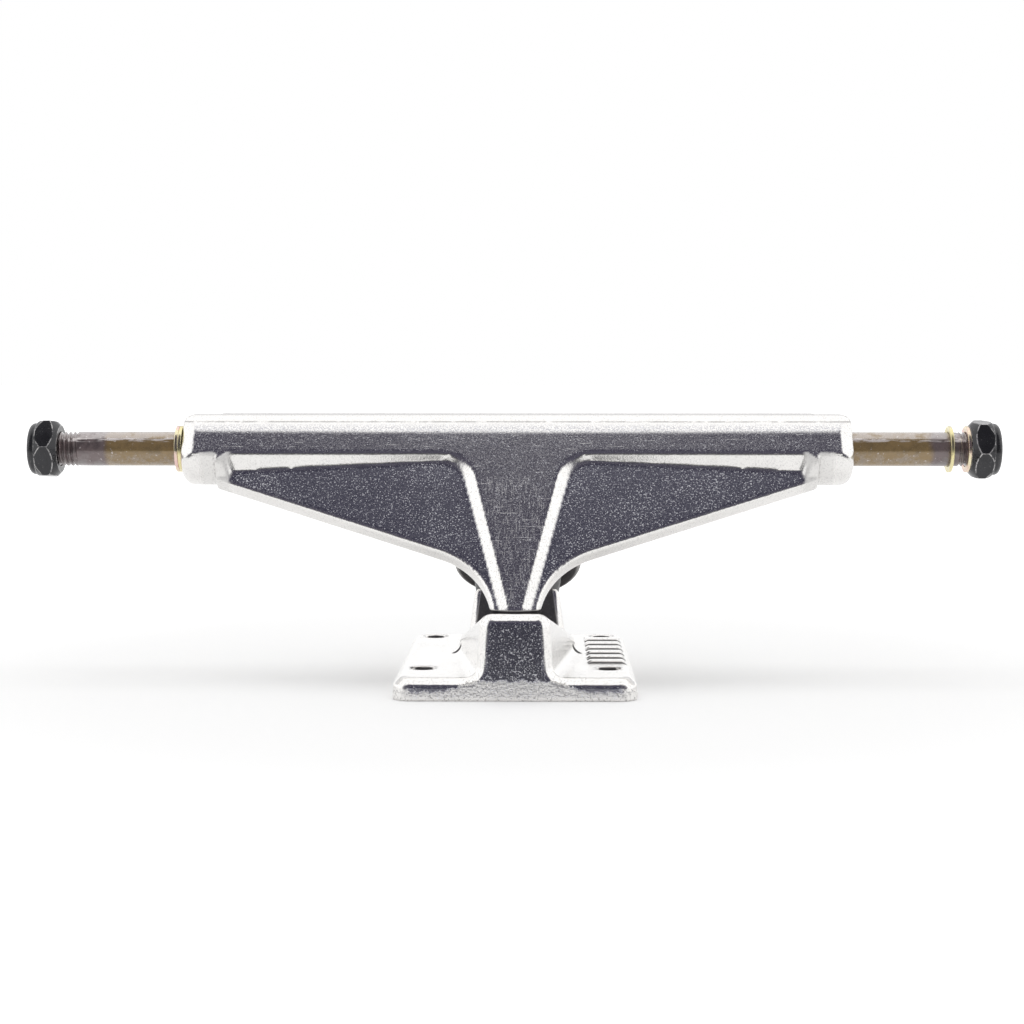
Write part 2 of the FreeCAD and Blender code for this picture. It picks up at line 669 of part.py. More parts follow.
# Lock nuts: a hexagon with chamfered corners, and a round collar that holds the nylon ring
def make_lock_nut(label, bore, flats, hex_height, collar, place, turn=None):
    """The nut stands on its own XY plane, collar up."""
    body = new_body(label, *place)
    outline = new_sketch(body, label + "_hexagon", "XY_Plane")
    draw_hexagon(outline, flats, turn)
    pad(body, label + "_body", outline, hex_height)
    corner = flats * HALF / cosine(Size(30.0, "30"))
    collar_radius = flats * HALF - s.nut_collar_inset
    top = hex_height + collar
    shoulder = new_sketch(body, label + "_collar_outline", "XZ_Plane")
    draw_outline(shoulder, [
        (0, hex_height * HALF), (collar_radius, hex_height * HALF),
        (collar_radius, top, s.nut_collar_rounding), (0, top),
    ])
    turned(body, label + "_collar", shoulder)
    for name, edge, inward, start, angle in (
            ("lower", 0, 1, flats * HALF - s.nut_face_inset, s.nut_foot_bevel),
            ("upper", hex_height, -1, flats * HALF, s.nut_top_bevel)):
        bevel = new_sketch(body, label + "_" + name + "_bevel_outline", "XZ_Plane")
        outer = corner + s.nut_lip
        draw_outline(bevel, [
            (start, edge),
            (outer, edge),
            (outer, edge + (outer - start) * tangent(angle) * inward),
        ])
        turned(body, label + "_" + name + "_bevel", bevel, cut=True)
    hole = new_sketch(body, label + "_hole_outline", "XZ_Plane")
    bore_radius = bore + s.nut_gap
    ring = bore_radius + s.insert_wall
    floor = top - s.insert_height - s.nut_lip
    draw_outline(hole, [
        (0, 0), (bore_radius, 0), (bore_radius, floor), (ring, floor),
        (ring, top - s.nut_lip), (bore_radius + s.nut_lip, top - s.nut_lip),
        (bore_radius + s.nut_lip, top), (0, top),
    ])
    turned(body, label + "_hole", hole, cut=True)
    return body


def make_insert(label, bore, height, place):
    """The nylon ring in the collar of a nut whose whole height is given."""
    inner = bore + s.nut_gap
    outer = inner + s.insert_wall - s.fit_gap
    head = height - s.nut_lip
    return lathe(label, [
        (inner, head - s.insert_height), (outer, head - s.insert_height), (outer, head),
        (inner, head),
    ], *place)


def make_kingpin_nut():
    base = (0, s.kingpin_foot_y + kingpin_nut_foot * lean_sin, kingpin_nut_foot * lean_cos)
    place = (base, s.kingpin_lean)
    make_lock_nut("kingpin_nut", kingpin_radius, s.kingpin_nut_flats, s.kingpin_nut_hex,
                  s.kingpin_nut_collar, place)
    make_insert("kingpin_nut_insert", kingpin_radius, s.kingpin_nut_hex + s.kingpin_nut_collar,
                place)


# Axle and what is on it
def make_axle():
    body = new_body("axle", (0, s.axle_y, s.axle_height))
    section = new_sketch(body, "axle_section", "XZ_Plane")
    bevel = s.axle_end_chamfer
    draw_outline(section, [
        (-axle_half, 0), (axle_half, 0), (axle_half, axle_radius - bevel),
        (axle_half - bevel, axle_radius), (bevel - axle_half, axle_radius),
        (-axle_half, axle_radius - bevel),
    ])
    turned(body, "axle_turned", section, axis="H_Axis")
    length = s.axle_thread_length - bevel
    cut_threads(body, "thread_left", axle_radius, bevel - axle_half, length, "H_Axis")
    cut_threads(body, "thread_right", axle_radius, axle_half - s.axle_thread_length, length,
                "H_Axis")


def place_on_axle(side, x):
    """Where a piece goes whose own Z points outwards on that side, x from the middle."""
    return (side * x, s.axle_y, s.axle_height), RIGHT_ANGLE, (0, side, 0)


def make_speed_washer(label, side, x):
    bore = axle_radius + s.nut_gap
    outer = s.speed_washer_diameter * HALF
    thick = s.speed_washer_thickness
    lathe(label, [(bore, 0), (outer, 0), (outer, thick), (bore, thick)], *place_on_axle(side, x))


def make_axle_hardware():
    thick = s.speed_washer_thickness
    height = s.axle_nut_hex + s.axle_nut_collar
    left_foot = axle_half + s.left_nut_past_end - height
    right_foot = axle_half + s.right_nut_past_end - height
    make_speed_washer("washer_left_inner", -1, hanger_half)
    make_speed_washer("washer_left_outer", -1, hanger_half + thick)
    make_speed_washer("washer_right_inner", 1, right_foot - s.loose_washer_gap)
    make_speed_washer("washer_right_outer", 1, right_foot - thick)
    for name, side, nut_foot in (("left", -1, left_foot), ("right", 1, right_foot)):
        place = place_on_axle(side, nut_foot)
        make_lock_nut("axle_nut_" + name, axle_radius, s.axle_nut_flats, s.axle_nut_hex,
                      s.axle_nut_collar, place, RIGHT_ANGLE + s.nut_turn)
        make_insert("axle_nut_insert_" + name, axle_radius, height, place)


def mirrored(corners):
    """The same corners on the left-hand side, in the order that goes on round the outline."""
    return [(-corner[0],) + corner[1:] for corner in reversed(corners)]


def bevel_foot(bar_edge, level, across):
    """Where the bevel under the bar meets the swept wing, as far across as given."""
    return bar_edge - (level + across * tangent(s.wing_sweep)) * tangent(s.bar_bevel)


def on_wing_rim(edge, y, foot, wing_tip):
    """Whether the edge runs along a wing's lower rim, on the swept face that starts at y."""
    place = middle(edge)
    swept = abs(place.x) * tangent(s.wing_sweep).value
    return (abs(place.y - y.value - swept) < s.fit_gap.value
            and abs(place.x) > s.neck_foot_half.value * HALF
            and foot.value + s.fit_gap.value < place.z < wing_tip.value)


# Hanger: one casting, drawn in the kingpin's frame
def make_hanger():
    body = new_body("hanger", kingpin_foot, s.kingpin_lean)
    face = axle_across - s.face_depth
    floor = face + s.wing_recess
    back = floor + s.wing_thickness
    beam_end = hanger_half - s.end_length
    foot = pivot_along + s.neck_foot_rise
    crotch = pivot_along + s.crotch_rise
    bar_edge = axle_along - s.bar_drop
    bar_end = axle_along - s.bar_end_drop
    hidden_top = axle_along - s.bar_drop * HALF
    wing_tip = axle_along - s.wing_tip_drop
    swept = beam_end * tangent(s.wing_sweep)

    chevron = new_sketch(body, "wings_plan", "XY_Plane", shift=(0, 0, foot))
    draw_outline(chevron, [
        (-beam_end, floor + swept), (0, floor), (beam_end, floor + swept),
        (beam_end, back + swept), (0, back), (-beam_end, back + swept),
    ])
    pad(body, "wings", chevron, hidden_top - foot)
    below = [
        (s.neck_foot_half, foot),
        (s.neck_foot_half, foot - s.overrun),
        (beam_end + s.overrun, foot - s.overrun),
        (beam_end + s.overrun, wing_tip),
        (beam_end, wing_tip),
        (s.crotch_half, crotch, s.crotch_radius),
    ]
    for name, corners in (("right", below), ("left", mirrored(below))):
        outline = new_sketch(body, name + "_wing_outline", "XZ_Plane", shift=(0, 0, -floor))
        draw_outline(outline, corners)
        pocket(body, name + "_wing", outline, hanger_half, both_ways=True)
    for name, radius, y in (("wings_front_rim", s.wing_edge_radius, floor),
                            ("wings_back_rim", s.wing_back_radius, back)):
        soften_edges(body, name, "Fillet", radius,
                     lambda edge: on_wing_rim(edge, y, foot, wing_tip))

    face_corners = [
        (0, foot),
        (0, hidden_top),
        (beam_end, hidden_top),
        (beam_end, bar_end),
        (beam_end - s.bar_tip_inset * HALF, (bar_end + bar_edge) * HALF),
        (beam_end - s.bar_tip_inset, bar_edge),
        (s.neck_face_top_half, bar_edge, s.neck_face_corner_radius),
        (s.neck_face_foot_half, foot),
    ]
    level = s.wing_recess + s.panel_overlap
    shoulder = beam_end - s.panel_shoulder_inset
    neck_top_depth = level + s.neck_face_top_half * tangent(s.wing_sweep)
    neck_top = s.neck_face_top_half + neck_top_depth * tangent(s.neck_bevel_top)
    neck_foot = s.neck_face_foot_half + level * tangent(s.neck_bevel_foot)
    foot_corners = [
        (0, foot),
        (0, hidden_top),
        (beam_end, hidden_top),
        (beam_end, wing_tip + s.wing_edge_radius),
        (beam_end - s.panel_tip_inset, axle_along - s.panel_tip_drop),
        (shoulder, bevel_foot(bar_edge, level, shoulder)),
        (neck_top, bevel_foot(bar_edge, level, neck_top), s.panel_corner_radius),
        (neck_foot, foot),
    ]
    for name, outlines, sweep in (
            ("right_front", (face_corners, foot_corners), s.wing_sweep),
            ("left_front", (mirrored(face_corners), mirrored(foot_corners)), -s.wing_sweep)):
        near = new_sketch(body, name + "_face", "XZ_Plane", shift=(0, 0, -face))
        draw_outline(near, outlines[0])
        far = new_sketch(body, name + "_foot", "XZ_Plane", shift=(0, 0, -(face + level)),
                         turn=sweep, turn_axis=(0, 1, 0))
        draw_outline(far, outlines[1])
        loft(body, name, [near, far])

    top = s.axle_height + s.beam_rise
    under = s.axle_height - s.beam_drop
    back_y = s.axle_y + s.beam_back_depth
    step = (floor + back) * HALF
    front_edge = (face, (top + face * lean_sin) / lean_cos, s.beam_front_radius)
    for name, side in (("left_end", -1), ("right_end", 1)):
        end = new_sketch(body, name + "_section", "XZ_Plane",
                         shift=(0, axle_along, -axle_across))
        draw_outline(end, [
            (side * (beam_end - s.end_flare), 0),
            (side * (beam_end - s.end_flare), s.end_root_radius),
            (side * beam_end, s.end_radius, s.end_flare),
            (side * hanger_half, s.end_radius, s.end_rounding),
            (side * hanger_half, 0),
        ])
        turned(body, name, end, axis="H_Axis")
    root = beam_end - s.end_flare
    ahead = [
        (root, face - s.end_radius),
        (hanger_half + s.end_bevel, face - s.end_radius),
        (hanger_half + s.end_bevel, face + s.end_bevel * 2 * tangent(s.end_bevel_angle)),
        (hanger_half - s.end_bevel, face),
        (root, face),
    ]
    for name, corners in (("right_end_face", ahead), ("left_end_face", mirrored(ahead))):
        plan = new_sketch(body, name, "XY_Plane", shift=(0, 0, axle_along))
        draw_outline(plan, corners)
        pocket(body, name + "_cut", plan, s.end_radius * 4, both_ways=True)
    above = new_sketch(body, "beam_front_outline", "YZ_Plane")
    draw_outline(above, [
        (face, axle_along),
        front_edge,
        (across_kingpin(back_y, top), along_kingpin(back_y, top)),
        (across_kingpin(back_y, top), axle_along + s.overrun),
        (face - s.end_radius, axle_along + s.overrun),
        (face - s.end_radius, axle_along),
    ])
    pocket(body, "beam_front", above, s.hanger_width + s.overrun, both_ways=True)
    beam = new_sketch(body, "beam_section", "YZ_Plane")
    draw_outline(beam, [
        (face, hidden_top),
        front_edge,
        (across_kingpin(back_y, top), along_kingpin(back_y, top), s.beam_back_radius),
        (across_kingpin(back_y, under), along_kingpin(back_y, under), s.beam_back_radius),
        (back, (under + back * lean_sin) / lean_cos),
        (step, (under + back * lean_sin) / lean_cos),
        (step, hidden_top),
    ])
    pad(body, "beam", beam, beam_end * 2, both_ways=True)

    web_back = -(s.bottom_bushing_head_radius + s.web_clearance)
    web = new_sketch(body, "web_outline", "YZ_Plane")
    draw_outline(web, [
        (step, foot),
        (back + s.web_foot_depth, foot),
        (web_back, seat),
        (web_back, ring_head - s.recess_depth),
        (step, ring_head - s.recess_depth),
    ])
    pad(body, "web", web, s.web_half * 2, both_ways=True)

    arm = new_sketch(body, "arm_outline", "XY_Plane",
                     shift=(0, 0, (ring_foot + ring_head - s.arm_thickness) * HALF))
    near = s.ring_radius - s.ring_edge_radius
    draw_outline(arm, [
        (-s.arm_half, axle_across), (s.arm_half, axle_across), (near, 0), (-near, 0),
    ])
    pad(body, "arm", arm, s.arm_thickness)
    ring = new_sketch(body, "ring_section", "XZ_Plane")
    draw_outline(ring, [
        (0, ring_foot), (s.ring_radius, ring_foot, s.ring_edge_radius),
        (s.ring_radius, ring_head, s.ring_edge_radius), (0, ring_head),
    ])
    turned(body, "ring", ring)

    under_neck = new_sketch(body, "neck_foot_cut", "YZ_Plane", turn=s.kingpin_lean - s.pivot_tilt,
                            shift=(pivot_across, pivot_along, 0))
    draw_outline(under_neck, [
        (-s.overrun, -s.overrun), (s.overrun, -s.overrun),
        (s.overrun, s.neck_start_length), (-s.overrun, s.neck_start_length),
    ])
    pocket(body, "neck_foot", under_neck, s.plate_width, both_ways=True)
    stub = new_sketch(body, "stub_section", "YZ_Plane", turn=s.kingpin_lean - s.pivot_tilt,
                      shift=(pivot_across, pivot_along, 0))
    draw_outline(stub, [
        (0, 0), (s.ball_radius - s.ball_gap, 0), (s.stub_radius, s.stub_length),
        (s.stub_top_radius, s.neck_start_length + s.fit_gap),
        (0, s.neck_start_length + s.stub_radius),
    ])
    turned(body, "stub", stub)
    ball = feature(body, "AdditiveSphere", "ball")
    bind(ball, "Radius", s.ball_radius)
    support = [f for f in body.Origin.OriginFeatures if f.Role == "XY_Plane"][0]
    ball.AttachmentSupport = [(support, "")]
    ball.MapMode = "FlatFace"
    bind(ball, "AttachmentOffset.Base.y", pivot_across)
    bind(ball, "AttachmentOffset.Base.z", pivot_along)

    holes = new_sketch(body, "ring_hole_section", "XZ_Plane")
    draw_outline(holes, [
        (0, ring_foot - s.recess_depth),
        (s.bottom_bushing_head_radius + s.bushing_gap, ring_foot - s.recess_depth),
        (s.bottom_bushing_head_radius + s.bushing_gap, ring_foot + s.lower_recess_depth),
        (s.ring_bore_radius, ring_foot + s.lower_recess_depth),
        (s.ring_bore_radius, ring_head - s.recess_depth),
        (s.top_bushing_foot_radius + s.bushing_gap, ring_head - s.recess_depth),
        (s.top_bushing_foot_radius + s.bushing_gap, ring_head + s.recess_depth),
        (0, ring_head + s.recess_depth),
    ])
    turned(body, "ring_hole", holes, cut=True)
    bore = new_sketch(body, "axle_bore_outline", "YZ_Plane")
    draw_circle(bore, axle_radius + s.fit_gap, axle_across, axle_along)
    pocket(body, "axle_bore", bore, s.hanger_width + s.overrun, both_ways=True)


def check_and_write():
    os.makedirs("parts", exist_ok=True)
    doc.recompute()
    for thing in doc.Objects:
        if "Invalid" in thing.State or "Error" in thing.State:
            raise RuntimeError("%s failed: %s" % (thing.Label, thing.State))
    for body in bodies:
        shape = body.Shape
        if shape.isNull() or not shape.isValid() or shape.Volume <= 0:
            raise RuntimeError(body.Label + " has no valid shape")
        shape.exportStep(os.path.join("parts", body.Label + ".step"))
        print("%-26s %10.1f mm3  %d solids" % (body.Label, shape.Volume, len(shape.Solids)))


make_baseplate()
make_pivot_cup()
make_kingpin()
make_kingpin_stack()
make_kingpin_nut()
make_axle()
make_axle_hardware()
make_hanger()
check_and_write()
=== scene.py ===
import math

import bmesh
import bpy
from bpy.props import FloatProperty, FloatVectorProperty, IntProperty, PointerProperty
from mathutils import Matrix, Vector
from mathutils.bvhtree import BVHTree


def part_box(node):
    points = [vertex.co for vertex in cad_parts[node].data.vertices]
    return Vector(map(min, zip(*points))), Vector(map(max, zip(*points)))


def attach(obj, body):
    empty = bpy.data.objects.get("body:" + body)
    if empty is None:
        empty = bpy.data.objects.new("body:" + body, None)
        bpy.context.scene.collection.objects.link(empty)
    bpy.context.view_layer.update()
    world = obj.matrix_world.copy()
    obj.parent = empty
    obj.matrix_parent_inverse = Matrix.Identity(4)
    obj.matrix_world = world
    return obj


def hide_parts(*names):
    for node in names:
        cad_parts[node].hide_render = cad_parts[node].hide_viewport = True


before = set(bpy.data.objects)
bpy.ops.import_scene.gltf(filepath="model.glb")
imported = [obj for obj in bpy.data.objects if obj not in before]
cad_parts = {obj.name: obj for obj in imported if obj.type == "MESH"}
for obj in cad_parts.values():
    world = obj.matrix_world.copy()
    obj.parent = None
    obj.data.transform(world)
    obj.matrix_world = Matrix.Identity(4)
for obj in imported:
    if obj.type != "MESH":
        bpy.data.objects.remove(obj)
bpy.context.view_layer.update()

bl_info = {
    "name": "Skateboard truck",
    "version": (1, 0, 0),
    "blender": (4, 5, 0),
    "location": "3D View > Sidebar > Truck",
    "description": "Dresses a skateboard truck: softened castings, threaded steel and studio",
    "category": "Object",
}

# Places on the truck, in metres; FACE_REACH runs from the kingpin's axis to the front face
LEAN = math.radians(36)
KINGPIN_FOOT = Vector((0, -0.0062, 0))
FACE_REACH = 0.03628
AXLE_HEIGHT = 0.053
HOLE_SIDE, HOLE_AHEAD = 0.02064, 0.02699
RIB_ROW_MIDDLE, RIB_PITCH = 0.0018, 0.0076
BOSS_DRAFT = math.radians(8)

# Kingpin, measured along it from the baseplate's underside, and threads
KINGPIN_SEAT, KINGPIN_TOP, KINGPIN_RADIUS = 0.0106, 0.0599, 0.0047625
KINGPIN_HEAD_FLATS, KINGPIN_HEAD_HEIGHT = 0.01429, 0.0046
KINGPIN_HEAD_EDGE = 0.0004
KINGPIN_THREAD, KINGPIN_CHAMFER = 0.013, 0.0006
NO_THREAD = 0.0001
AXLE_THREAD, AXLE_CHAMFER = 0.0094, 0.0008

# How the copies' meshes are made, in metres where they are lengths
JOIN_GAP = 2e-6
NUT_VOXEL, NUT_ROUNDS = 0.00017, 4
WASHER_EDGE, KINGPIN_WASHER_EDGE = 0.00018, 0.0002
WORN_DEPTH = 0.0002
SNAP_FAR, SNAP_BAND = 0.00009, 0.00006
FLAT_FROM, FLAT_BAND = 0.955, 0.03
COPLANAR_ANGLE, EDGE_ANGLE = math.radians(1.5), math.radians(28)
SMOOTH_ANGLE = math.radians(38)
FRONT = Vector((0, -1, 0))
FACE_FRONT = Vector((0, -math.cos(LEAN), math.sin(LEAN)))

# Colours in the castings' skin
# The bluish grey after this is painted shade for the faces that look to the front.
FRONT_SHADE_GREY = (0.48, 0.48, 0.55)
GRAIN_GREY = (0.28, 0.28, 0.33)
# The white after this paints glints as specks on those faces.
SPECK_GLINT_WHITE = (0.86, 0.86, 0.9)
PIT_GREY = (0.36, 0.36, 0.39)
RUB_GREY = (0.4, 0.39, 0.39)
CORNER_GREY = (0.12, 0.11, 0.12)
# The near black after this is partly dirt and partly painted shade.
DIRT_AND_SHADE_BLACK = (0.03, 0.026, 0.03)
BLACK, WHITE = (0.0, 0.0, 0.0), (1.0, 1.0, 1.0)

# Stage: places in metres, the camera's angles in degrees
FLOOR_REACH = 6.0
LAMP_WIDTH, LAMP_DEPTH, LAMP_POWER = 1.2, 0.8, 3.0
LAMP_PLACE = (0.0, 0.1, 1.3)
CAMERA_PLACE = (0.00598, -0.4889, 0.07306)
CAMERA_DOWN, CAMERA_ASIDE = 4.102, 0.842


# Sizes and colours that a user would change

class CastingSettings(bpy.types.PropertyGroup):
    hanger_voxel: FloatProperty(
        name="Hanger mesh size", description="Facet size of the softened hanger",
        default=0.00046, min=0.0002, max=0.002, precision=5, subtype="DISTANCE", unit="LENGTH")
    base_voxel: FloatProperty(
        name="Baseplate mesh size", description="Facet size of the softened baseplate",
        default=0.00042, min=0.0002, max=0.002, precision=5, subtype="DISTANCE", unit="LENGTH")
    rounding: IntProperty(
        name="Rounding", description="How often the casting's edges are smoothed",
        default=6, min=0, max=40)
    colour: FloatVectorProperty(
        name="Cast aluminium", description="Colour of the tumbled castings",
        default=(0.92, 0.905, 0.885), size=3, min=0, max=1, subtype="COLOR")
    face_depth: FloatProperty(
        name="Polished depth", description="How far behind the front face the polish reaches",
        default=0.00035, min=0, max=0.002, precision=5, subtype="DISTANCE", unit="LENGTH")


class SteelSettings(bpy.types.PropertyGroup):
    pitch: FloatProperty(
        name="Thread pitch", description="Distance between threads on axle and kingpin",
        default=0.0010583, min=0.0005, max=0.003, precision=6, subtype="DISTANCE", unit="LENGTH")
    thread_depth: FloatProperty(
        name="Thread depth", description="Depth of the threads",
        default=0.00058, min=0.0001, max=0.001, precision=5, subtype="DISTANCE", unit="LENGTH")
    axle_colour: FloatVectorProperty(
        name="Oiled axle", description="Colour of the axle between washers and hanger",
        default=(0.28, 0.19, 0.085), size=3, min=0, max=1, subtype="COLOR")
    worn_colour: FloatVectorProperty(
        name="Worn axle", description="Colour of the axle near its ends",
        default=(0.17, 0.13, 0.13), size=3, min=0, max=1, subtype="COLOR")
    washer_colour: FloatVectorProperty(
        name="Yellow plating", description="Colour of the speed washers",
        default=(0.86, 0.79, 0.53), size=3, min=0, max=1, subtype="COLOR")
    zinc_colour: FloatVectorProperty(
        name="Bright plating", description="Colour of the kingpin and its washers",
        default=(0.62, 0.61, 0.6), size=3, min=0, max=1, subtype="COLOR")
    nut_colour: FloatVectorProperty(
        name="Black oxide", description="Colour of the lock nuts",
        default=(0.018, 0.018, 0.02), size=3, min=0, max=1, subtype="COLOR")


class RubberSettings(bpy.types.PropertyGroup):
    bushing_colour: FloatVectorProperty(
        name="Bushings", description="Colour of the urethane bushings",
        default=(0.012, 0.012, 0.014), size=3, min=0, max=1, subtype="COLOR")
    cup_colour: FloatVectorProperty(
        name="Pivot cup", description="Colour of the pivot cup",
        default=(0.02, 0.02, 0.02), size=3, min=0, max=1, subtype="COLOR")


class StageSettings(bpy.types.PropertyGroup):
    floor_colour: FloatVectorProperty(
        name="Floor", description="Colour of the floor",
        default=(0.95, 0.95, 0.95), size=3, min=0, max=1, subtype="COLOR")
    floor_glow: FloatProperty(
        name="Floor white", description="What the floor adds to look white to the camera",
        default=0.1, min=0, max=1)
    far_glow: FloatProperty(
        name="Far floor white", description="The same far from the truck, where less light falls",
        default=0.6, min=0, max=1)
    sky: FloatProperty(
        name="Room light", description="Brightness of the white room on paint and rubber",
        default=0.8, min=0, max=3)
    glare: FloatProperty(
        name="Room in metal", description="Brightness of the white room as metal mirrors it",
        default=1.18, min=0, max=3)
    dark_front: FloatVectorProperty(
        name="Dark front", description="Colour of the dark part of the room before the truck",
        default=(0.078, 0.074, 0.104), size=3, min=0, max=1, subtype="COLOR")
    lens: FloatProperty(
        name="Lens", description="Focal length of the camera on a 36 mm frame",
        default=73.27, min=20, max=200)


# Node trees

class Wire:
    """An output socket that takes part in sums, for shaders and geometry alike."""

    def __init__(self, tree, socket):
        self.tree = tree
        self.socket = socket

    def math(self, operation, *others, clamp=False):
        return self.tree.add(
            "ShaderNodeMath", {"operation": operation, "use_clamp": clamp},
            dict(enumerate((self,) + others))).out(0)

    def __add__(self, other):
        return self.math("ADD", other)

    def __radd__(self, other):
        return self + other

    def __sub__(self, other):
        return self.math("SUBTRACT", other)

    def __rsub__(self, other):
        return self * -1 + other

    def __mul__(self, other):
        return self.math("MULTIPLY", other)

    def __rmul__(self, other):
        return self * other

    def __truediv__(self, other):
        return self.math("DIVIDE", other)

    def ramp(self, low, high, start=0.0, end=1.0):
        """Rises smoothly from start at low to end at high, and stays there."""
        return self.tree.add(
            "ShaderNodeMapRange", {"interpolation_type": "SMOOTHSTEP"},
            {"Value": self, "From Min": low, "From Max": high, "To Min": start, "To Max": end},
        ).out("Result")


class Made:
    """A node just added, with its outputs by name or number."""

    def __init__(self, tree, node):
        self.tree = tree
        self.node = node

    def out(self, name):
        return Wire(self.tree, self.node.outputs[name])


class Tree:
    """A node tree that is being built."""

    def __init__(self, nodes_of):
        self.tree = nodes_of

    def add(self, kind, settings=None, sockets=None):
        """Adds a node: its settings are set first, then its sockets' values or links."""
        node = self.tree.nodes.new(kind)
        for name, value in (settings or {}).items():
            if name == "stops":
                self.set_stops(node.color_ramp, value)
            else:
                setattr(node, name, value)
        for name, value in (sockets or {}).items():
            self.put(node.inputs[name], value)
        return Made(self, node)

    def put(self, socket, value):
        if isinstance(value, Wire):
            self.tree.links.new(value.socket, socket)
        else:
            socket.default_value = value

    @staticmethod
    def set_stops(ramp, stops):
        for place, colour in stops[2:]:
            ramp.elements.new(place)
        for element, (place, colour) in zip(ramp.elements, sorted(stops)):
            element.position = place
            element.color = (*colour, 1.0)

    def mix(self, factor, first, second):
        """Blend of two colours or colour wires."""
        def colour(value):
            return value if isinstance(value, Wire) else (*value, 1.0)
        node = self.add("ShaderNodeMix", {"data_type": "RGBA"}, {0: factor})
        self.put(node.node.inputs[6], colour(first))
        self.put(node.node.inputs[7], colour(second))
        return node.out(2)


class Finish(Tree):
    """A material: patterns on object coordinates that end in one Principled shader."""

    def __init__(self, name):
        self.material = bpy.data.materials.new(name)
        self.material.use_nodes = True
        super().__init__(self.material.node_tree)
        self.tree.nodes.clear()
        self.place = self.add("ShaderNodeTexCoord").out("Object")
        parts = self.add("ShaderNodeSeparateXYZ", None, {0: self.place})
        self.x, self.y, self.z = parts.out(0), parts.out(1), parts.out(2)

    def stretched(self, scale, turn=(0, 0, 0)):
        return self.add("ShaderNodeMapping", None, {
            "Vector": self.place, "Scale": scale, "Rotation": turn}).out(0)

    def noise(self, scale, detail=2.0, roughness=0.5, distortion=0.0, where=None):
        return self.add("ShaderNodeTexNoise", None, {
            "Vector": where or self.place, "Scale": scale, "Detail": detail,
            "Roughness": roughness, "Distortion": distortion}).out("Fac")

    def cells(self, scale):
        return self.add("ShaderNodeTexVoronoi", None, {
            "Vector": self.place, "Scale": scale}).out("Distance")

    def trait(self, name):
        """What the shape's own points carry under that name."""
        return self.add("ShaderNodeAttribute", {"attribute_name": name}).out("Fac")

    def bump(self, height, strength, distance):
        return self.add("ShaderNodeBump", None, {
            "Height": height, "Strength": strength, "Distance": distance}).out(0)

    def end(self, **sockets):
        names = {key.replace("_", " "): value for key, value in sockets.items()}
        shader = self.add("ShaderNodeBsdfPrincipled", None, names).out(0)
        self.add("ShaderNodeOutputMaterial", None, {"Surface": shader})
        return self.material


# Finishes

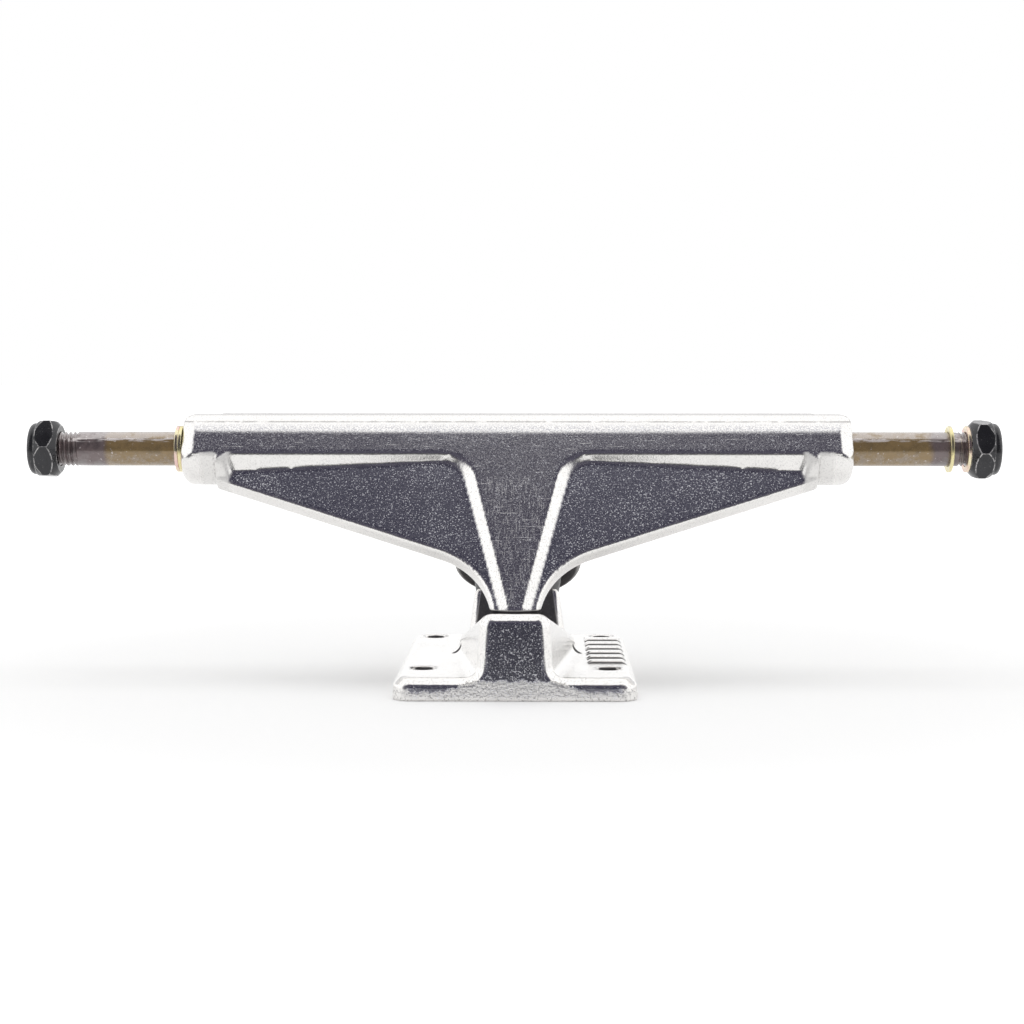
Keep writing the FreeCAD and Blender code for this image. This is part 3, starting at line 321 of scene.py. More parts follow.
class Casting(Finish):
    """Tumbled cast aluminium: what the hanger and the baseplate have in common."""

    def __init__(self, name):
        super().__init__(name)
        self.across = (self.y - KINGPIN_FOOT.y) * math.cos(LEAN) - self.z * math.sin(LEAN)
        self.along = (self.y - KINGPIN_FOOT.y) * math.sin(LEAN) + self.z * math.cos(LEAN)
        self.side = self.x.math("ABSOLUTE")
        self.flat = self.trait("flat")
        self.worn = self.trait("worn")
        self.grain = self.noise(2300, 3, 0.6)
        self.fine = self.noise(5600, 2, 0.6)
        self.peel = self.noise(260, 2, 0.5)
        self.patches = self.noise(75, 4, 0.6)
        self.pits = (self.cells(820).ramp(0.0, 0.24, 1.0, 0.0)
                     * self.noise(600, 2).ramp(0.5, 0.62))
        self.scratches = (self.lines((2600, 2600, 150), (0.5, 0.1, 0.3), 0.64)
                          + self.lines((130, 2300, 2600), (0.2, 0.5, 0.15), 0.66)
                          + self.lines((2500, 2500, 210), (0.1, -0.8, 0.2), 0.67)) * 0.6
        self.specks = (self.noise(3000, 2, 0.6) + self.patches * 0.14).ramp(0.655, 0.72)

    def lines(self, scale, turn, level):
        """Thin scratches: what lies above level in a stretched noise."""
        return self.noise(1.0, 2, 0.5, where=self.stretched(scale, turn)).ramp(level, level + 0.06)

    def near(self, x, y, low, high):
        """1 within low of the place (x or -x, y), and 0 beyond high."""
        off, ahead = self.side - x, self.y - y
        return (off * off + ahead * ahead).math("SQRT").ramp(low, high, 1.0, 0.0)

    def cast(self, colour, rough, height, dirt_and_shade, front_shade=1.0, matt=0.0, rubbed=0.0):
        """The metal: bright grains of broken skin, white on the front faces as painted glints, and
        a black that is partly dirt and partly painted shade.

        A painted bluish shade greys the faces that look to the front, as much as the argument
        after the black asks; matt takes the mirror away, and rubbed spares a face the dark grain.
        """
        tint = self.mix(self.patches.ramp(0.35, 0.75), colour, tuple(c * 0.95 for c in colour))
        # Painted shade: faces that look to the front turn a bluish grey, and the next line mottles
        # that shade with darker grain.
        tint = self.mix(self.flat * front_shade * 0.9, tint, FRONT_SHADE_GREY)
        dark_grain = self.noise(2700, 2, 0.6).ramp(0.4, 0.6) * self.flat * (1 - rubbed)
        tint = self.mix(dark_grain * 0.55, tint, GRAIN_GREY)
        # Painted glints: specks turn white on the faces that look to the front; elsewhere they
        # only lose some metal.
        tint = self.mix(self.specks * self.flat, tint, SPECK_GLINT_WHITE)
        tint = self.mix(self.pits * 0.4, tint, PIT_GREY)
        rub = self.noise(2500, 2, 0.65).ramp(0.52, 0.66)
        tint = self.mix(rub * (1 - self.flat) * 0.3, tint, RUB_GREY)
        corners = self.worn.ramp(-0.9, -0.2, 1.0, 0.0) * self.grain.ramp(0.4, 0.6)
        tint = self.mix(corners * 0.4, tint, CORNER_GREY)
        # The black is partly dirt and partly painted shade; where it lies, the metal and gloss go
        # as well.
        tint = self.mix(dirt_and_shade, tint, DIRT_AND_SHADE_BLACK)
        skin = ((self.specks * 0.6 + self.scratches * 0.12).math("MINIMUM", 1.0)
                * (self.flat * 0.85 + 0.1))
        skin = (skin * (front_shade * 0.35 + 0.65)).math("MAXIMUM", matt * 0.8)
        grit = self.grain * 1.5 + self.noise(1100, 2, 0.6) * 1.2
        return self.end(Base_Color=tint, Metallic=(1 - skin) * (1 - dirt_and_shade),
                        Roughness=rough * (1 - dirt_and_shade) + dirt_and_shade * 0.9,
                        Normal=self.bump(height + grit * (1 - self.flat), 1.0, 0.000012))


def hanger_finish(colour, polished):
    """The hanger's casting: a smoother rubbed face on the beam and neck, rougher panels.

    line is the dashed line in the strip above the beam's face, under the painted shade on the
    ring's underside, foot the painted shade at the neck's foot, and step the matt end of the
    strip.
    """
    f = Casting("cast_hanger")
    smooth = f.across.ramp(-polished, -polished + 0.00025, 1.0, 0.0)
    dashes = f.noise(1.0, 3, 0.6, where=f.stretched((500, 60, 900))).ramp(0.32, 0.55)
    line = ((f.z - 0.0594).math("ABSOLUTE").ramp(0.00008, 0.00024, 1.0, 0.0)
            * f.y.ramp(-0.004, -0.003, 1.0, 0.0) * dashes)
    neck = (f.side.ramp(0.006, 0.009, 1.0, 0.0) * f.along.ramp(0.03, 0.036, 1.0, 0.0) * smooth)
    grooves = f.lines((3800, 500, 120), (0, 0, 0), 0.58) * neck
    reach = (f.x * f.x + f.across * f.across).math("SQRT")
    # Painted shade: near black on the ring's underside and at the neck's foot.
    under = (f.across.ramp(-0.016, -0.014) * f.along.ramp(0.031, 0.032, 1.0, 0.0)
             * reach.ramp(0.0138, 0.0147, 0.95, 0.55))
    foot = f.z.ramp(0.0187, 0.0192, 1.0, 0.0) * f.y.ramp(-0.022, -0.02, 1.0, 0.0)
    shade = (under + foot).math("MINIMUM", 1.0)
    step = (f.side.ramp(0.065, 0.0665) * f.side.ramp(0.072, 0.0735, 1.0, 0.0)
            * f.z.ramp(0.0524, 0.0532, 1.0, 0.0) * f.y.ramp(-0.006, -0.004, 1.0, 0.0)
            * (1 - f.flat))
    rough = smooth.ramp(0.0, 1.0, 0.17, 0.13) + f.patches * 0.04
    height = (f.grain * smooth.ramp(0.0, 1.0, 0.9, 0.5) + f.fine * 0.25 + f.peel * 1.2
              - f.pits - f.scratches * smooth * 0.7 - grooves * 0.8 - line * 3.0)
    return f.cast(colour, rough, height, line * 0.35 + shade, 1 - smooth, step)


def baseplate_finish(colour):
    """The baseplate's casting: rough and flecked at the flange's foot, shade painted in holes and
    corners.

    foot is the flange's front, holes the painted shade in the mounting holes, corner the painted
    shade at the housing's rear corners, boss the painted shade on the top of the kingpin's boss
    behind the hanger, and ribs the outline round each of the six ribs.
    """
    f = Casting("cast_base")
    mound = f.side.ramp(0.007, 0.017, 0.0023, 0.0)
    foot = ((f.z + f.noise(900, 3, 0.65) * 0.0022 - mound).ramp(0.0028, 0.0034, 1.0, 0.0)
            * f.y.ramp(-0.034, -0.032, 1.0, 0.0))
    coarse = f.noise(2100, 2, 0.65) * foot
    # Painted shade inside the mounting holes.
    holes = ((f.near(HOLE_SIDE, HOLE_AHEAD, 0.0028, 0.0031)
              + f.near(HOLE_SIDE, -HOLE_AHEAD, 0.0028, 0.0031))
             * (f.side - HOLE_SIDE).math("ABSOLUTE").ramp(0.0016, 0.0024, 1.0, 0.0))
    # Painted shade in the crevices at the housing's rear corners.
    corner = f.near(0.01385, -0.0034, 0.0011, 0.0016) * f.z.ramp(0.0066, 0.0076, 1.0, 0.0)
    # Painted shade on the top of the kingpin's boss behind the hanger.
    edge = f.side + f.z * math.tan(BOSS_DRAFT)
    boss = (edge.ramp(0.0109, 0.0115, 1.0, 0.0) * f.y.ramp(-0.0035, -0.0025, 1.0, 0.0)
            * f.z.ramp(0.0106, 0.0112) * f.y.ramp(-0.0085, -0.0078))
    in_row = f.y - RIB_ROW_MIDDLE
    row = (((in_row / RIB_PITCH).math("FRACT") - 0.5).math("ABSOLUTE") * -RIB_PITCH
           + 0.5 * RIB_PITCH)
    row_reach = in_row.math("ABSOLUTE").ramp(0.0226, 0.0228, 1.0, 0.0)
    out = ((f.x - HOLE_SIDE).math("ABSOLUTE") - 0.0032).math("MAXIMUM", 0.0)
    over = (row - 0.0008).math("MAXIMUM", 0.0)
    rim = ((out * out + over * over).math("SQRT") - 0.0008).math("ABSOLUTE")
    ribs = (rim.ramp(0.0002, 0.0006, 1.0, 0.0) * row_reach * f.z.ramp(0.0045, 0.0048)
            * f.z.ramp(0.0058, 0.006, 1.0, 0.0))
    rough = foot.ramp(0.0, 1.0, 0.15, 0.28) + f.patches * 0.05
    height = (f.grain * 0.8 + coarse * 16 + f.fine * 0.3 + f.peel * 1.2 - f.pits * 1.2
              - f.scratches * 0.5 + f.z * foot * 5500 - ribs * 4)
    fleck = f.noise(2000, 2, 0.6).ramp(0.56, 0.64) * foot
    # Painted shade in the holes, the corners and on the boss, together with the rib outlines and
    # the flecks at the foot.
    dirt_and_shade = (holes * 0.95 + corner * 0.95 + boss * 0.9 + ribs * 0.8
             + fleck * 0.45).math("MINIMUM", 1.0)
    return f.cast(colour, rough, height, dirt_and_shade, 1 - foot, rubbed=foot)


def axle_finish(steel):
    """Steel rod with an olive oil stain inboard and a browner, worn outer end."""
    f = Finish("oiled_axle")
    out = f.x.math("ABSOLUTE")
    edge = f.noise(160, 2) * 0.003
    worn = (out + edge).ramp(0.0958, 0.0975)
    # Painted highlight: a broken light streak along the axle's upper front.
    streak_highlight = (f.noise(1.0, 3, 0.6, where=f.stretched((260, 1500, 1500))).ramp(0.46, 0.6)
              * (f.z - (AXLE_HEIGHT + 0.0022)).math("ABSOLUTE").ramp(0.0002, 0.0006, 1.0, 0.0)
              * f.y.ramp(-0.006, -0.0055, 1.0, 0.0))
    rings = f.noise(1.0, 2, 0.6, where=f.stretched((2600, 120, 120)))
    blots = f.noise(420, 4, 0.62)
    tint = f.mix(blots.ramp(0.35, 0.7), tuple(steel.axle_colour),
                 tuple(c * 0.7 for c in steel.axle_colour))
    old = f.mix(blots.ramp(0.4, 0.66), tuple(steel.worn_colour),
                tuple(c * 0.5 for c in steel.worn_colour))
    rough = blots.ramp(0.3, 0.7, 0.16, 0.34) + worn * 0.1
    specks = f.noise(1500, 2, 0.5).ramp(0.66, 0.74)
    # Painted light: the axle's top is lighter as a highlight, and its bottom as the floor's
    # reflection.
    top_highlight = f.z.ramp(0.0551, 0.0557) * blots.ramp(0.3, 0.55) * 0.45
    bottom_reflection = f.z.ramp(0.0515, 0.0525, 1.0, 0.0) * blots.ramp(0.4, 0.6) * 0.16
    # Bare specks and the painted highlights together lighten the steel.
    bare_and_highlight = (specks * 0.5 + streak_highlight * 0.75 + top_highlight + bottom_reflection).math("MINIMUM", 1.0)
    return f.end(Base_Color=f.mix(bare_and_highlight, f.mix(worn, tint, old), (0.85, 0.79, 0.78)),
                 Metallic=0.35, Roughness=rough, Coat_Weight=1.0, Coat_Roughness=0.08,
                 Normal=f.bump(rings * 0.5 + blots, 0.3, 0.00004))


def plated_finish(name, colour, rainbow):
    """Zinc plating, bright, yellow or pinkish, with a slight play of colour."""
    f = Finish(name)
    swirl = f.noise(260, 2, 0.5, 0.6)
    spots = f.noise(1800, 2, 0.6)
    tint = f.add("ShaderNodeValToRGB", {"stops": [
        (0.36, colour),
        (0.64, tuple(c * k for c, k in zip(colour, rainbow))),
        (0.5, tuple(0.5 * (c + c * k) for c, k in zip(colour, rainbow))),
    ]}, {"Fac": swirl}).out("Color")
    return f.end(Base_Color=f.mix(spots.ramp(0.62, 0.72) * 0.4, tint, (0.25, 0.2, 0.16)),
                 Metallic=1.0, Roughness=swirl.ramp(0.3, 0.7, 0.2, 0.34),
                 Normal=f.bump(spots, 0.15, 0.00003))


def oxide_finish(colour):
    """Black oxide on a steel nut: oily gloss, bright specks, and worn edges lightened as painted
    highlights.
    """
    f = Finish("black_oxide")
    cloud = f.noise(300, 3, 0.6)
    specks = f.noise(2100, 2, 0.5).ramp(0.66, 0.74)
    tint = f.mix(cloud, colour, tuple(min(1.0, c * 2.4) for c in colour))
    # Worn bare on the convex edges, which also paints the edges' highlights.
    bare_and_highlight = f.trait("worn").ramp(0.025, 0.12) * f.noise(900, 2, 0.6).ramp(0.36, 0.56)
    tint = f.mix(bare_and_highlight * 0.85, tint, (0.62, 0.6, 0.6))
    return f.end(Base_Color=f.mix(specks * 0.35, tint, (0.3, 0.29, 0.28)),
                 Metallic=0.55, Roughness=cloud.ramp(0.3, 0.7, 0.16, 0.3),
                 Coat_Weight=0.3, Coat_Roughness=0.12,
                 Normal=f.bump(cloud + specks * 0.4, 0.2, 0.00004))


def moulded_finish(name, colour, roughness, grain_scale):
    """Moulded plastic or urethane with a fine skin."""
    f = Finish(name)
    skin = f.noise(grain_scale, 3, 0.6)
    dust = f.noise(1300, 2, 0.5).ramp(0.6, 0.74)
    tint = f.mix(dust * 0.3, colour, tuple(min(1.0, c * 3 + 0.03) for c in colour))
    return f.end(Base_Color=tint, Roughness=skin.ramp(0.3, 0.7, roughness, roughness + 0.16),
                 Normal=f.bump(skin, 0.25, 0.00005))


# Shapes

def link(mesh, name):
    piece = bpy.data.objects.new(name, mesh)
    bpy.context.scene.collection.objects.link(piece)
    return piece


def plain_mesh(piece, name):
    """The piece's mesh with its modifiers worked in; the piece itself goes."""
    seen = piece.evaluated_get(bpy.context.evaluated_depsgraph_get())
    mesh = bpy.data.meshes.new_from_object(seen)
    mesh.name = name
    bpy.data.objects.remove(piece)
    return mesh


def joined_faces(node):
    """A CAD node's triangles as one closed bmesh."""
    bm = bmesh.new()
    bm.from_mesh(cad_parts[node].data)
    bmesh.ops.remove_doubles(bm, verts=bm.verts, dist=JOIN_GAP)
    return bm


def tumbled_copy(node, name, voxel, rounds, front):
    """A piece's copy with every edge softened, as tumbling and wear leave it; flats stay flat.

    Its points carry how squarely they face the front given, and how worn they are: above 0
    on an edge, below 0 in a corner.
    """
    bm = joined_faces(node)
    flats = BVHTree.FromBMesh(bm)
    mesh = bpy.data.meshes.new(name)
    bm.to_mesh(mesh)
    bm.free()
    piece = link(mesh, name)
    remesh = piece.modifiers.new("remesh", "REMESH")
    remesh.mode = "VOXEL"
    remesh.voxel_size = voxel
    remesh.adaptivity = 0
    soften = piece.modifiers.new("soften", "SMOOTH")
    soften.factor = 0.5
    soften.iterations = rounds
    mesh = plain_mesh(piece, name)
    worn = []
    for vertex in mesh.vertices:
        near, outward, _, gap = flats.find_nearest(vertex.co)
        depth = (near - vertex.co).dot(outward)
        worn.append(min(1.0, max(-1.0, depth / WORN_DEPTH)))
        share = min(1.0, max(0.0, (SNAP_FAR - gap) / SNAP_BAND))
        vertex.co = vertex.co.lerp(near, share)
    mesh.update()
    flat = [min(1.0, max(0.0, (vertex.normal.dot(front) - FLAT_FROM) / FLAT_BAND))
            for vertex in mesh.vertices]
    for trait, values in (("worn", worn), ("flat", flat)):
        mesh.attributes.new(trait, "FLOAT", "POINT").data.foreach_set("value", values)
    mesh.shade_smooth()
    return link(mesh, name)


def edged_copy(node, name, width):
    """A washer's copy with its sharp edges broken."""
    bm = joined_faces(node)
    bmesh.ops.dissolve_limit(bm, angle_limit=COPLANAR_ANGLE, verts=bm.verts, edges=bm.edges)
    sharp = [edge for edge in bm.edges
             if len(edge.link_faces) == 2 and edge.calc_face_angle() > EDGE_ANGLE]
    bmesh.ops.bevel(bm, geom=sharp, offset=width, segments=3, profile=0.5,
                    affect="EDGES", clamp_overlap=True)
    bmesh.ops.triangulate(bm, faces=bm.faces)
    mesh = bpy.data.meshes.new(name)
    bm.to_mesh(mesh)
    bm.free()
    mesh.shade_smooth()
    piece = link(mesh, name)
    weighted = piece.modifiers.new("weighted", "WEIGHTED_NORMAL")
    weighted.keep_sharp = True
    return piece


def finish_piece(piece, material, body, node):
    """Gives a made piece its finish, its body and the CAD node it stands for."""
    piece.data.materials.clear()
    piece.data.materials.append(material)
    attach(piece, body)
    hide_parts(node)


def dress_node(node, material):
    """Gives a CAD node that stays its finish."""
    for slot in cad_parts[node].material_slots:
        slot.material = material


# Threaded rods

ROD_SIDES = 64
ROD_ROWS = 300
MERGE_GAP = 0.000001
THREAD_ROWS_SHARE = 0.46
THREAD_STEEPNESS, THREAD_ROOT = 1.35, 0.2
RUN_OUT = 0.8


def rod_tree():
    """Geometry nodes for a rod along X with a right-hand thread at either end."""
    group = bpy.data.node_groups.new("threaded_rod", "GeometryNodeTree")
    group.is_modifier = True
    for name in ("Length", "Radius", "Thread at start", "Thread at end", "Pitch", "Depth",
                 "Chamfer"):
        group.interface.new_socket(name, in_out="INPUT", socket_type="NodeSocketFloat")
    group.interface.new_socket("Material", in_out="INPUT", socket_type="NodeSocketMaterial")
    group.interface.new_socket("Geometry", in_out="OUTPUT", socket_type="NodeSocketGeometry")
    t = Tree(group)
    given = t.add("NodeGroupInput")
    length, radius = given.out("Length"), given.out("Radius")
    start, end = given.out("Thread at start"), given.out("Thread at end")
    pitch, depth = given.out("Pitch"), given.out("Depth")
    chamfer = given.out("Chamfer")
    grid = t.add("GeometryNodeMeshGrid", None, {
        "Size X": 1.0, "Size Y": 1.0, "Vertices X": ROD_SIDES + 1, "Vertices Y": ROD_ROWS})
    where = t.add("ShaderNodeSeparateXYZ", None, {0: t.add("GeometryNodeInputPosition").out(0)})
    angle = where.out(0) * (2 * math.pi)
    row = (where.out(1) + 0.5) * (ROD_ROWS - 1)
    share = (row - 1).math("DIVIDE", ROD_ROWS - 3, clamp=True)

    def linear(value, low, high, first, last):
        return t.add("ShaderNodeMapRange", {"interpolation_type": "LINEAR", "clamp": True}, {
            "Value": value, "From Min": low, "From Max": high,
            "To Min": first, "To Max": last}).out("Result")

    first, last = THREAD_ROWS_SHARE, 1 - THREAD_ROWS_SHARE
    x = (linear(share, 0.0, first, 0.0, start)
         + linear(share, first, last, 0.0, length - start - end)
         + linear(share, last, 1.0, 0.0, end))
    turn = x / pitch - angle / (2 * math.pi)
    wave = ((turn.math("FRACT") * 2 - 1).math("ABSOLUTE") * THREAD_STEEPNESS
            - THREAD_ROOT).math("ADD", 0, clamp=True)
    run = pitch * RUN_OUT
    near_start = ((start - x) / run).math("ADD", 0, clamp=True)
    near_end = ((x - length + end) / run).math("ADD", 0, clamp=True)
    cut = depth * wave * (near_start + near_end)
    from_end = x.math("MINIMUM", length - x)
    bevel = (chamfer - from_end).math("MAXIMUM", 0)
    reach = (radius - cut).math("MINIMUM", radius - bevel)
    inner_rows = row.math("GREATER_THAN", 0.5) * row.math("LESS_THAN", ROD_ROWS - 1.5)
    reach = reach * inner_rows
    place = t.add("ShaderNodeCombineXYZ", None, {
        0: x - length * 0.5, 1: reach * angle.math("COSINE"), 2: reach * angle.math("SINE")})
    rolled = t.add("GeometryNodeSetPosition", None, {
        "Geometry": grid.out("Mesh"), "Position": place.out(0)})
    closed = t.add("GeometryNodeMergeByDistance", None, {
        "Geometry": rolled.out(0), "Distance": MERGE_GAP})
    whole = t.add("GeometryNodeRealizeInstances", None, {"Geometry": closed.out(0)})
    coloured = t.add("GeometryNodeSetMaterial", None, {
        "Geometry": whole.out(0), "Material": given.out("Material")})
    t.add("NodeGroupOutput", None, {0: coloured.out(0)})
    return group


def threaded_rod(name, values, material, to_place):
    """A rod from the node tree, turned to a plain mesh and put in its place."""
    group = bpy.data.node_groups.get("threaded_rod") or rod_tree()
    maker = link(bpy.data.meshes.new(name), name)
    modifier = maker.modifiers.new("rod", "NODES")
    modifier.node_group = group
    for item in group.interface.items_tree:
        if item.in_out == "INPUT":
            modifier[item.identifier] = material if item.name == "Material" else values[item.name]
    maker.update_tag()
    bpy.context.view_layer.update()
    mesh = plain_mesh(maker, name)
    bm = bmesh.new()
    bm.from_mesh(mesh)
    bmesh.ops.recalc_face_normals(bm, faces=bm.faces)
    bm.to_mesh(mesh)
    bm.free()
    mesh.transform(to_place)
    mesh.set_sharp_from_angle(angle=SMOOTH_ANGLE)
    return link(mesh, name)


def along_kingpin(length):
    return KINGPIN_FOOT + Vector((0, math.sin(LEAN), math.cos(LEAN))) * length


def kingpin_turn():
    """Takes X to the kingpin's own direction."""
    return Vector((0, math.sin(LEAN), math.cos(LEAN))).to_track_quat("X", "Z").to_matrix().to_4x4()


# Operators, one for each piece or group of like pieces

class TRUCK_OT_castings(bpy.types.Operator):
    """Softens the hanger and the baseplate and gives them their cast finish"""
    bl_idname = "truck.castings"
    bl_label = "Castings"

    def execute(self, context):
        cast = context.scene.truck_casting
        colour = tuple(cast.colour)
        polished = FACE_REACH - cast.face_depth
        hanger = tumbled_copy("hanger", "hanger_casting", cast.hanger_voxel, cast.rounding,
                              FACE_FRONT)
        finish_piece(hanger, hanger_finish(colour, polished), "hanger", "hanger")
        base = tumbled_copy("baseplate", "baseplate_casting", cast.base_voxel, cast.rounding,
                            FRONT)
        finish_piece(base, baseplate_finish(colour), "base", "baseplate")
        return {"FINISHED"}


class TRUCK_OT_axle(bpy.types.Operator):
    """Makes the axle with its helical threads"""
    bl_idname = "truck.axle"
    bl_label = "Axle"

    def execute(self, context):
        steel = context.scene.truck_steel
        low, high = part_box("axle")
        values = {"Length": high.x - low.x, "Radius": 0.5 * (high.z - low.z),
                  "Thread at start": AXLE_THREAD, "Thread at end": AXLE_THREAD,
                  "Pitch": steel.pitch, "Depth": steel.thread_depth, "Chamfer": AXLE_CHAMFER}
        material = axle_finish(steel)
        axle = threaded_rod("threaded_axle", values, material,
                            Matrix.Translation((low + high) * 0.5))
        finish_piece(axle, material, "hanger", "axle")
        return {"FINISHED"}


class TRUCK_OT_kingpin(bpy.types.Operator):
    """Makes the kingpin with its hexagonal head and helical thread"""
    bl_idname = "truck.kingpin"
    bl_label = "Kingpin"

    def execute(self, context):
        steel = context.scene.truck_steel
        values = {"Length": KINGPIN_TOP - KINGPIN_SEAT, "Radius": KINGPIN_RADIUS,
                  "Thread at start": NO_THREAD, "Thread at end": KINGPIN_THREAD,
                  "Pitch": steel.pitch, "Depth": steel.thread_depth, "Chamfer": KINGPIN_CHAMFER}
        material = plated_finish("bright_kingpin", tuple(steel.zinc_colour), (0.92, 0.95, 1.0))
        middle = along_kingpin(0.5 * (KINGPIN_SEAT + KINGPIN_TOP))
        place = Matrix.Translation(middle) @ kingpin_turn()
        shank = threaded_rod("kingpin_shank", values, material, place)
        finish_piece(shank, material, "base", "kingpin")
        head = self.make_head(KINGPIN_SEAT - KINGPIN_HEAD_HEIGHT, KINGPIN_SEAT)
        finish_piece(head, material, "base", "kingpin")
        return {"FINISHED"}

    def make_head(self, foot, top):
        corner = KINGPIN_HEAD_FLATS / math.sqrt(3)
        bm = bmesh.new()
        bmesh.ops.create_cone(bm, cap_ends=True, segments=6, radius1=corner, radius2=corner,
                              depth=top - foot, matrix=Matrix.Rotation(math.radians(90), 4, "Y"))
        bmesh.ops.bevel(bm, geom=bm.edges[:], offset=KINGPIN_HEAD_EDGE, segments=3,
                        profile=0.5, affect="EDGES")
        mesh = bpy.data.meshes.new("kingpin_head")
        bm.to_mesh(mesh)
        bm.free()
        mesh.transform(Matrix.Translation(along_kingpin(0.5 * (foot + top))) @ kingpin_turn()
                       @ Matrix.Rotation(math.radians(30), 4, "X"))
        mesh.set_sharp_from_angle(angle=SMOOTH_ANGLE)
        return link(mesh, "kingpin_head")


class TRUCK_OT_nuts(bpy.types.Operator):
    """Rounds the edges of the lock nuts and blackens them"""
    bl_idname = "truck.nuts"
    bl_label = "Lock nuts"

    def execute(self, context):
        steel = context.scene.truck_steel
        black = oxide_finish(tuple(steel.nut_colour))
        nylon = moulded_finish("black_nylon", (0.02, 0.02, 0.022), 0.35, 900)
        for node, body in (("axle_nut_left", "left_nut"), ("axle_nut_right", "right_nut"),
                           ("kingpin_nut", "kingpin_nut")):
            piece = tumbled_copy(node, node + "_blackened", NUT_VOXEL, NUT_ROUNDS, FRONT)
            finish_piece(piece, black, body, node)
        for node in ("axle_nut_insert_left", "axle_nut_insert_right", "kingpin_nut_insert"):
            dress_node(node, nylon)
        return {"FINISHED"}


class TRUCK_OT_washers(bpy.types.Operator):
    """Breaks the edges of the washers and plates them"""
    bl_idname = "truck.washers"
    bl_label = "Washers"

    def execute(self, context):
        steel = context.scene.truck_steel
        yellow = plated_finish("yellow_plating", tuple(steel.washer_colour), (1.0, 0.98, 0.8))
        pink = plated_finish("pink_plating", tuple(steel.washer_colour), (1.0, 0.76, 1.1))
        bright = plated_finish("bright_washers", tuple(steel.zinc_colour), (0.9, 0.94, 1.0))
        for side, place in (("left", "inner"), ("left", "outer"), ("right", "inner"),
                            ("right", "outer")):
            node = "washer_%s_%s" % (side, place)
            piece = edged_copy(node, node + "_plated", WASHER_EDGE)
            finish_piece(piece, yellow if place == "inner" else pink,
                         "%s_washer_%s" % (side, place), node)
        for node in ("bottom_washer", "top_washer"):
            piece = edged_copy(node, node + "_plated", KINGPIN_WASHER_EDGE)
            finish_piece(piece, bright, "base", node)
        return {"FINISHED"}


class TRUCK_OT_bushings(bpy.types.Operator):
    """Gives the bushings and the pivot cup their moulded skin"""
    bl_idname = "truck.bushings"
    bl_label = "Bushings and pivot cup"

    def execute(self, context):
        rubber = context.scene.truck_rubber
        urethane = moulded_finish("black_urethane", tuple(rubber.bushing_colour), 0.28, 500)
        plastic = moulded_finish("cup_plastic", tuple(rubber.cup_colour), 0.4, 800)
        for node in ("bottom_bushing", "top_bushing"):
            dress_node(node, urethane)
        dress_node("pivot_cup", plastic)
        return {"FINISHED"}


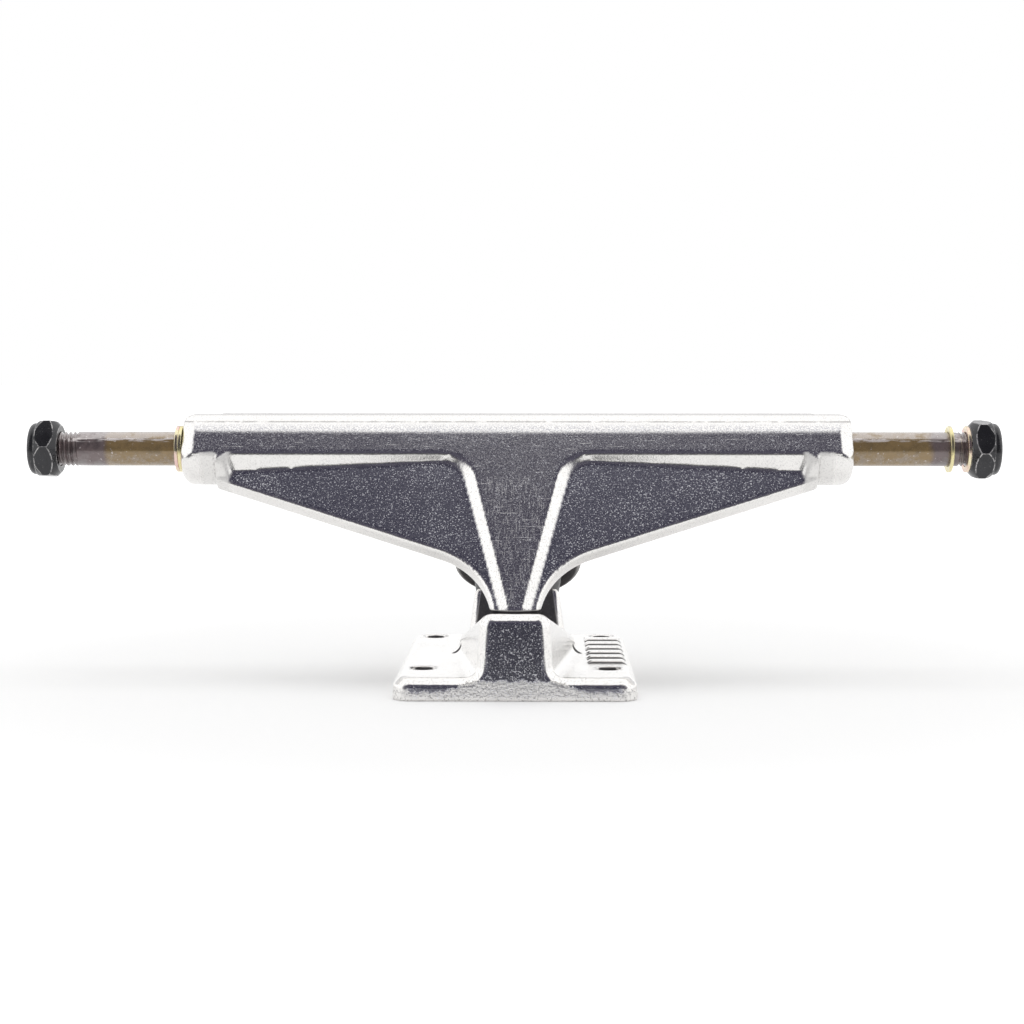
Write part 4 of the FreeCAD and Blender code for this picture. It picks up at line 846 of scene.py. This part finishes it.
class TRUCK_OT_stage(bpy.types.Operator):
    """Makes the floor, the white room, the lamp and the camera"""
    bl_idname = "truck.stage"
    bl_label = "Stage"

    def execute(self, context):
        stage = context.scene.truck_stage
        self.make_floor(stage)
        self.make_room(context.scene, stage)
        self.make_lamp(context.scene)
        self.make_camera(context.scene, stage)
        context.scene.view_settings.view_transform = "Standard"
        return {"FINISHED"}

    def make_floor(self, stage):
        """White to the camera; metal mirrors it dark far in front, and on a card at the truck."""
        mesh = bpy.data.meshes.new("floor")
        reach = FLOOR_REACH
        mesh.from_pydata([(-reach, -reach, 0), (reach, -reach, 0), (reach, reach, 0),
                          (-reach, reach, 0)], [], [(0, 1, 2, 3)])
        floor = link(mesh, "floor")
        f = Finish("white_floor")
        rays = f.add("ShaderNodeLightPath")
        camera, glossy = rays.out("Is Camera Ray"), rays.out("Is Glossy Ray")
        side = f.x.math("ABSOLUTE")
        card = (side.ramp(0.03, 0.036, 1.0, 0.0) * f.y.ramp(-0.135, -0.125)).math(
            "MAXIMUM", side.ramp(0.014, 0.018, 1.0, 0.0))
        card = card * f.y.ramp(-0.076, -0.07, 1.0, 0.0)
        near = f.y.ramp(-0.3, -0.17) * (1 - card) * 0.9 + 0.1
        far = (f.x * f.x + f.y * f.y).math("SQRT").ramp(0.1, 0.34)
        paint = f.mix(f.noise(6, 2) * 0.2, tuple(stage.floor_colour),
                      tuple(c * 0.99 for c in stage.floor_colour))
        paint = f.mix(glossy * (1 - near), paint, BLACK)
        glow = f.mix(camera + glossy * near, BLACK, (stage.floor_glow,) * 3)
        glow = f.mix(camera * far, glow, (stage.far_glow,) * 3)
        mesh.materials.append(f.end(Base_Color=paint, Roughness=0.9, Specular_IOR_Level=0.0,
                                    Emission_Color=glow, Emission_Strength=1.0))

    def make_room(self, scene, stage):
        """White all round, with a dark zone before the truck and a grey one behind it."""
        world = bpy.data.worlds.new("room")
        scene.world = world
        world.use_nodes = True
        t = Tree(world.node_tree)
        world.node_tree.nodes.clear()
        way = t.add("ShaderNodeSeparateXYZ", None, {
            0: t.add("ShaderNodeTexCoord").out("Generated")})
        side, front, up = way.out(0), way.out(1), way.out(2)
        level = (side * side + front * front).math("SQRT").math("MAXIMUM", 0.001)
        facing = front / level
        before = facing.ramp(-0.68, -0.45, 1.0, 0.0) * up.ramp(0.948, 0.971, 1.0, 0.0)
        behind = facing.ramp(0.4, 0.65) * up.ramp(0.2, 0.3) * up.ramp(0.5, 0.62, 1.0, 0.0)
        seen = t.mix(behind * 0.5, (stage.glare,) * 3, (0.3, 0.3, 0.33))
        seen = t.mix(before, seen, tuple(stage.dark_front))
        rays = t.add("ShaderNodeLightPath")
        colour = t.mix(rays.out("Is Glossy Ray"), (stage.sky,) * 3, seen)
        colour = t.mix(rays.out("Is Camera Ray"), colour, WHITE)
        light = t.add("ShaderNodeBackground", None, {"Color": colour, "Strength": 1.0})
        t.add("ShaderNodeOutputWorld", None, {"Surface": light.out(0)})

    def make_lamp(self, scene):
        lamp = bpy.data.lights.new("softbox", "AREA")
        lamp.shape = "RECTANGLE"
        lamp.size = LAMP_WIDTH
        lamp.size_y = LAMP_DEPTH
        lamp.energy = LAMP_POWER
        softbox = bpy.data.objects.new("softbox", lamp)
        softbox.location = LAMP_PLACE
        softbox.visible_glossy = False
        scene.collection.objects.link(softbox)

    def make_camera(self, scene, stage):
        camera = bpy.data.cameras.new("camera")
        camera.lens = stage.lens
        camera.sensor_width = 36
        camera.clip_start = 0.01
        camera.clip_end = 50
        seat = bpy.data.objects.new("camera", camera)
        seat.location = CAMERA_PLACE
        seat.rotation_euler = (math.radians(90 - CAMERA_DOWN), 0, math.radians(CAMERA_ASIDE))
        scene.collection.objects.link(seat)
        scene.camera = seat


class TRUCK_PT_panel(bpy.types.Panel):
    """Everything of the truck, in the order in which it is made"""
    bl_idname = "TRUCK_PT_panel"
    bl_label = "Skateboard truck"
    bl_space_type = "VIEW_3D"
    bl_region_type = "UI"
    bl_category = "Truck"

    def draw(self, context):
        scene = context.scene
        for title, group, operators in (
                ("Castings", scene.truck_casting, ("castings",)),
                ("Steel", scene.truck_steel, ("axle", "kingpin", "nuts", "washers")),
                ("Urethane", scene.truck_rubber, ("bushings",)),
                ("Stage", scene.truck_stage, ("stage",))):
            box = self.layout.box()
            box.label(text=title)
            for name in group.bl_rna.properties.keys():
                if name not in ("name", "rna_type"):
                    box.prop(group, name)
            for name in operators:
                box.operator("truck." + name)


SETTINGS = (("truck_casting", CastingSettings), ("truck_steel", SteelSettings),
            ("truck_rubber", RubberSettings), ("truck_stage", StageSettings))
OPERATORS = (TRUCK_OT_stage, TRUCK_OT_castings, TRUCK_OT_axle, TRUCK_OT_kingpin, TRUCK_OT_nuts,
             TRUCK_OT_washers, TRUCK_OT_bushings)


def register():
    for name, group in SETTINGS:
        bpy.utils.register_class(group)
        setattr(bpy.types.Scene, name, PointerProperty(type=group))
    for kind in OPERATORS + (TRUCK_PT_panel,):
        bpy.utils.register_class(kind)


def unregister():
    for kind in reversed(OPERATORS + (TRUCK_PT_panel,)):
        bpy.utils.unregister_class(kind)
    for name, group in reversed(SETTINGS):
        delattr(bpy.types.Scene, name)
        bpy.utils.unregister_class(group)


def main():
    register()
    for kind in OPERATORS:
        name = kind.bl_idname.split(".")[1]
        getattr(bpy.ops.truck, name)()


if __name__ == "__main__":
    main()
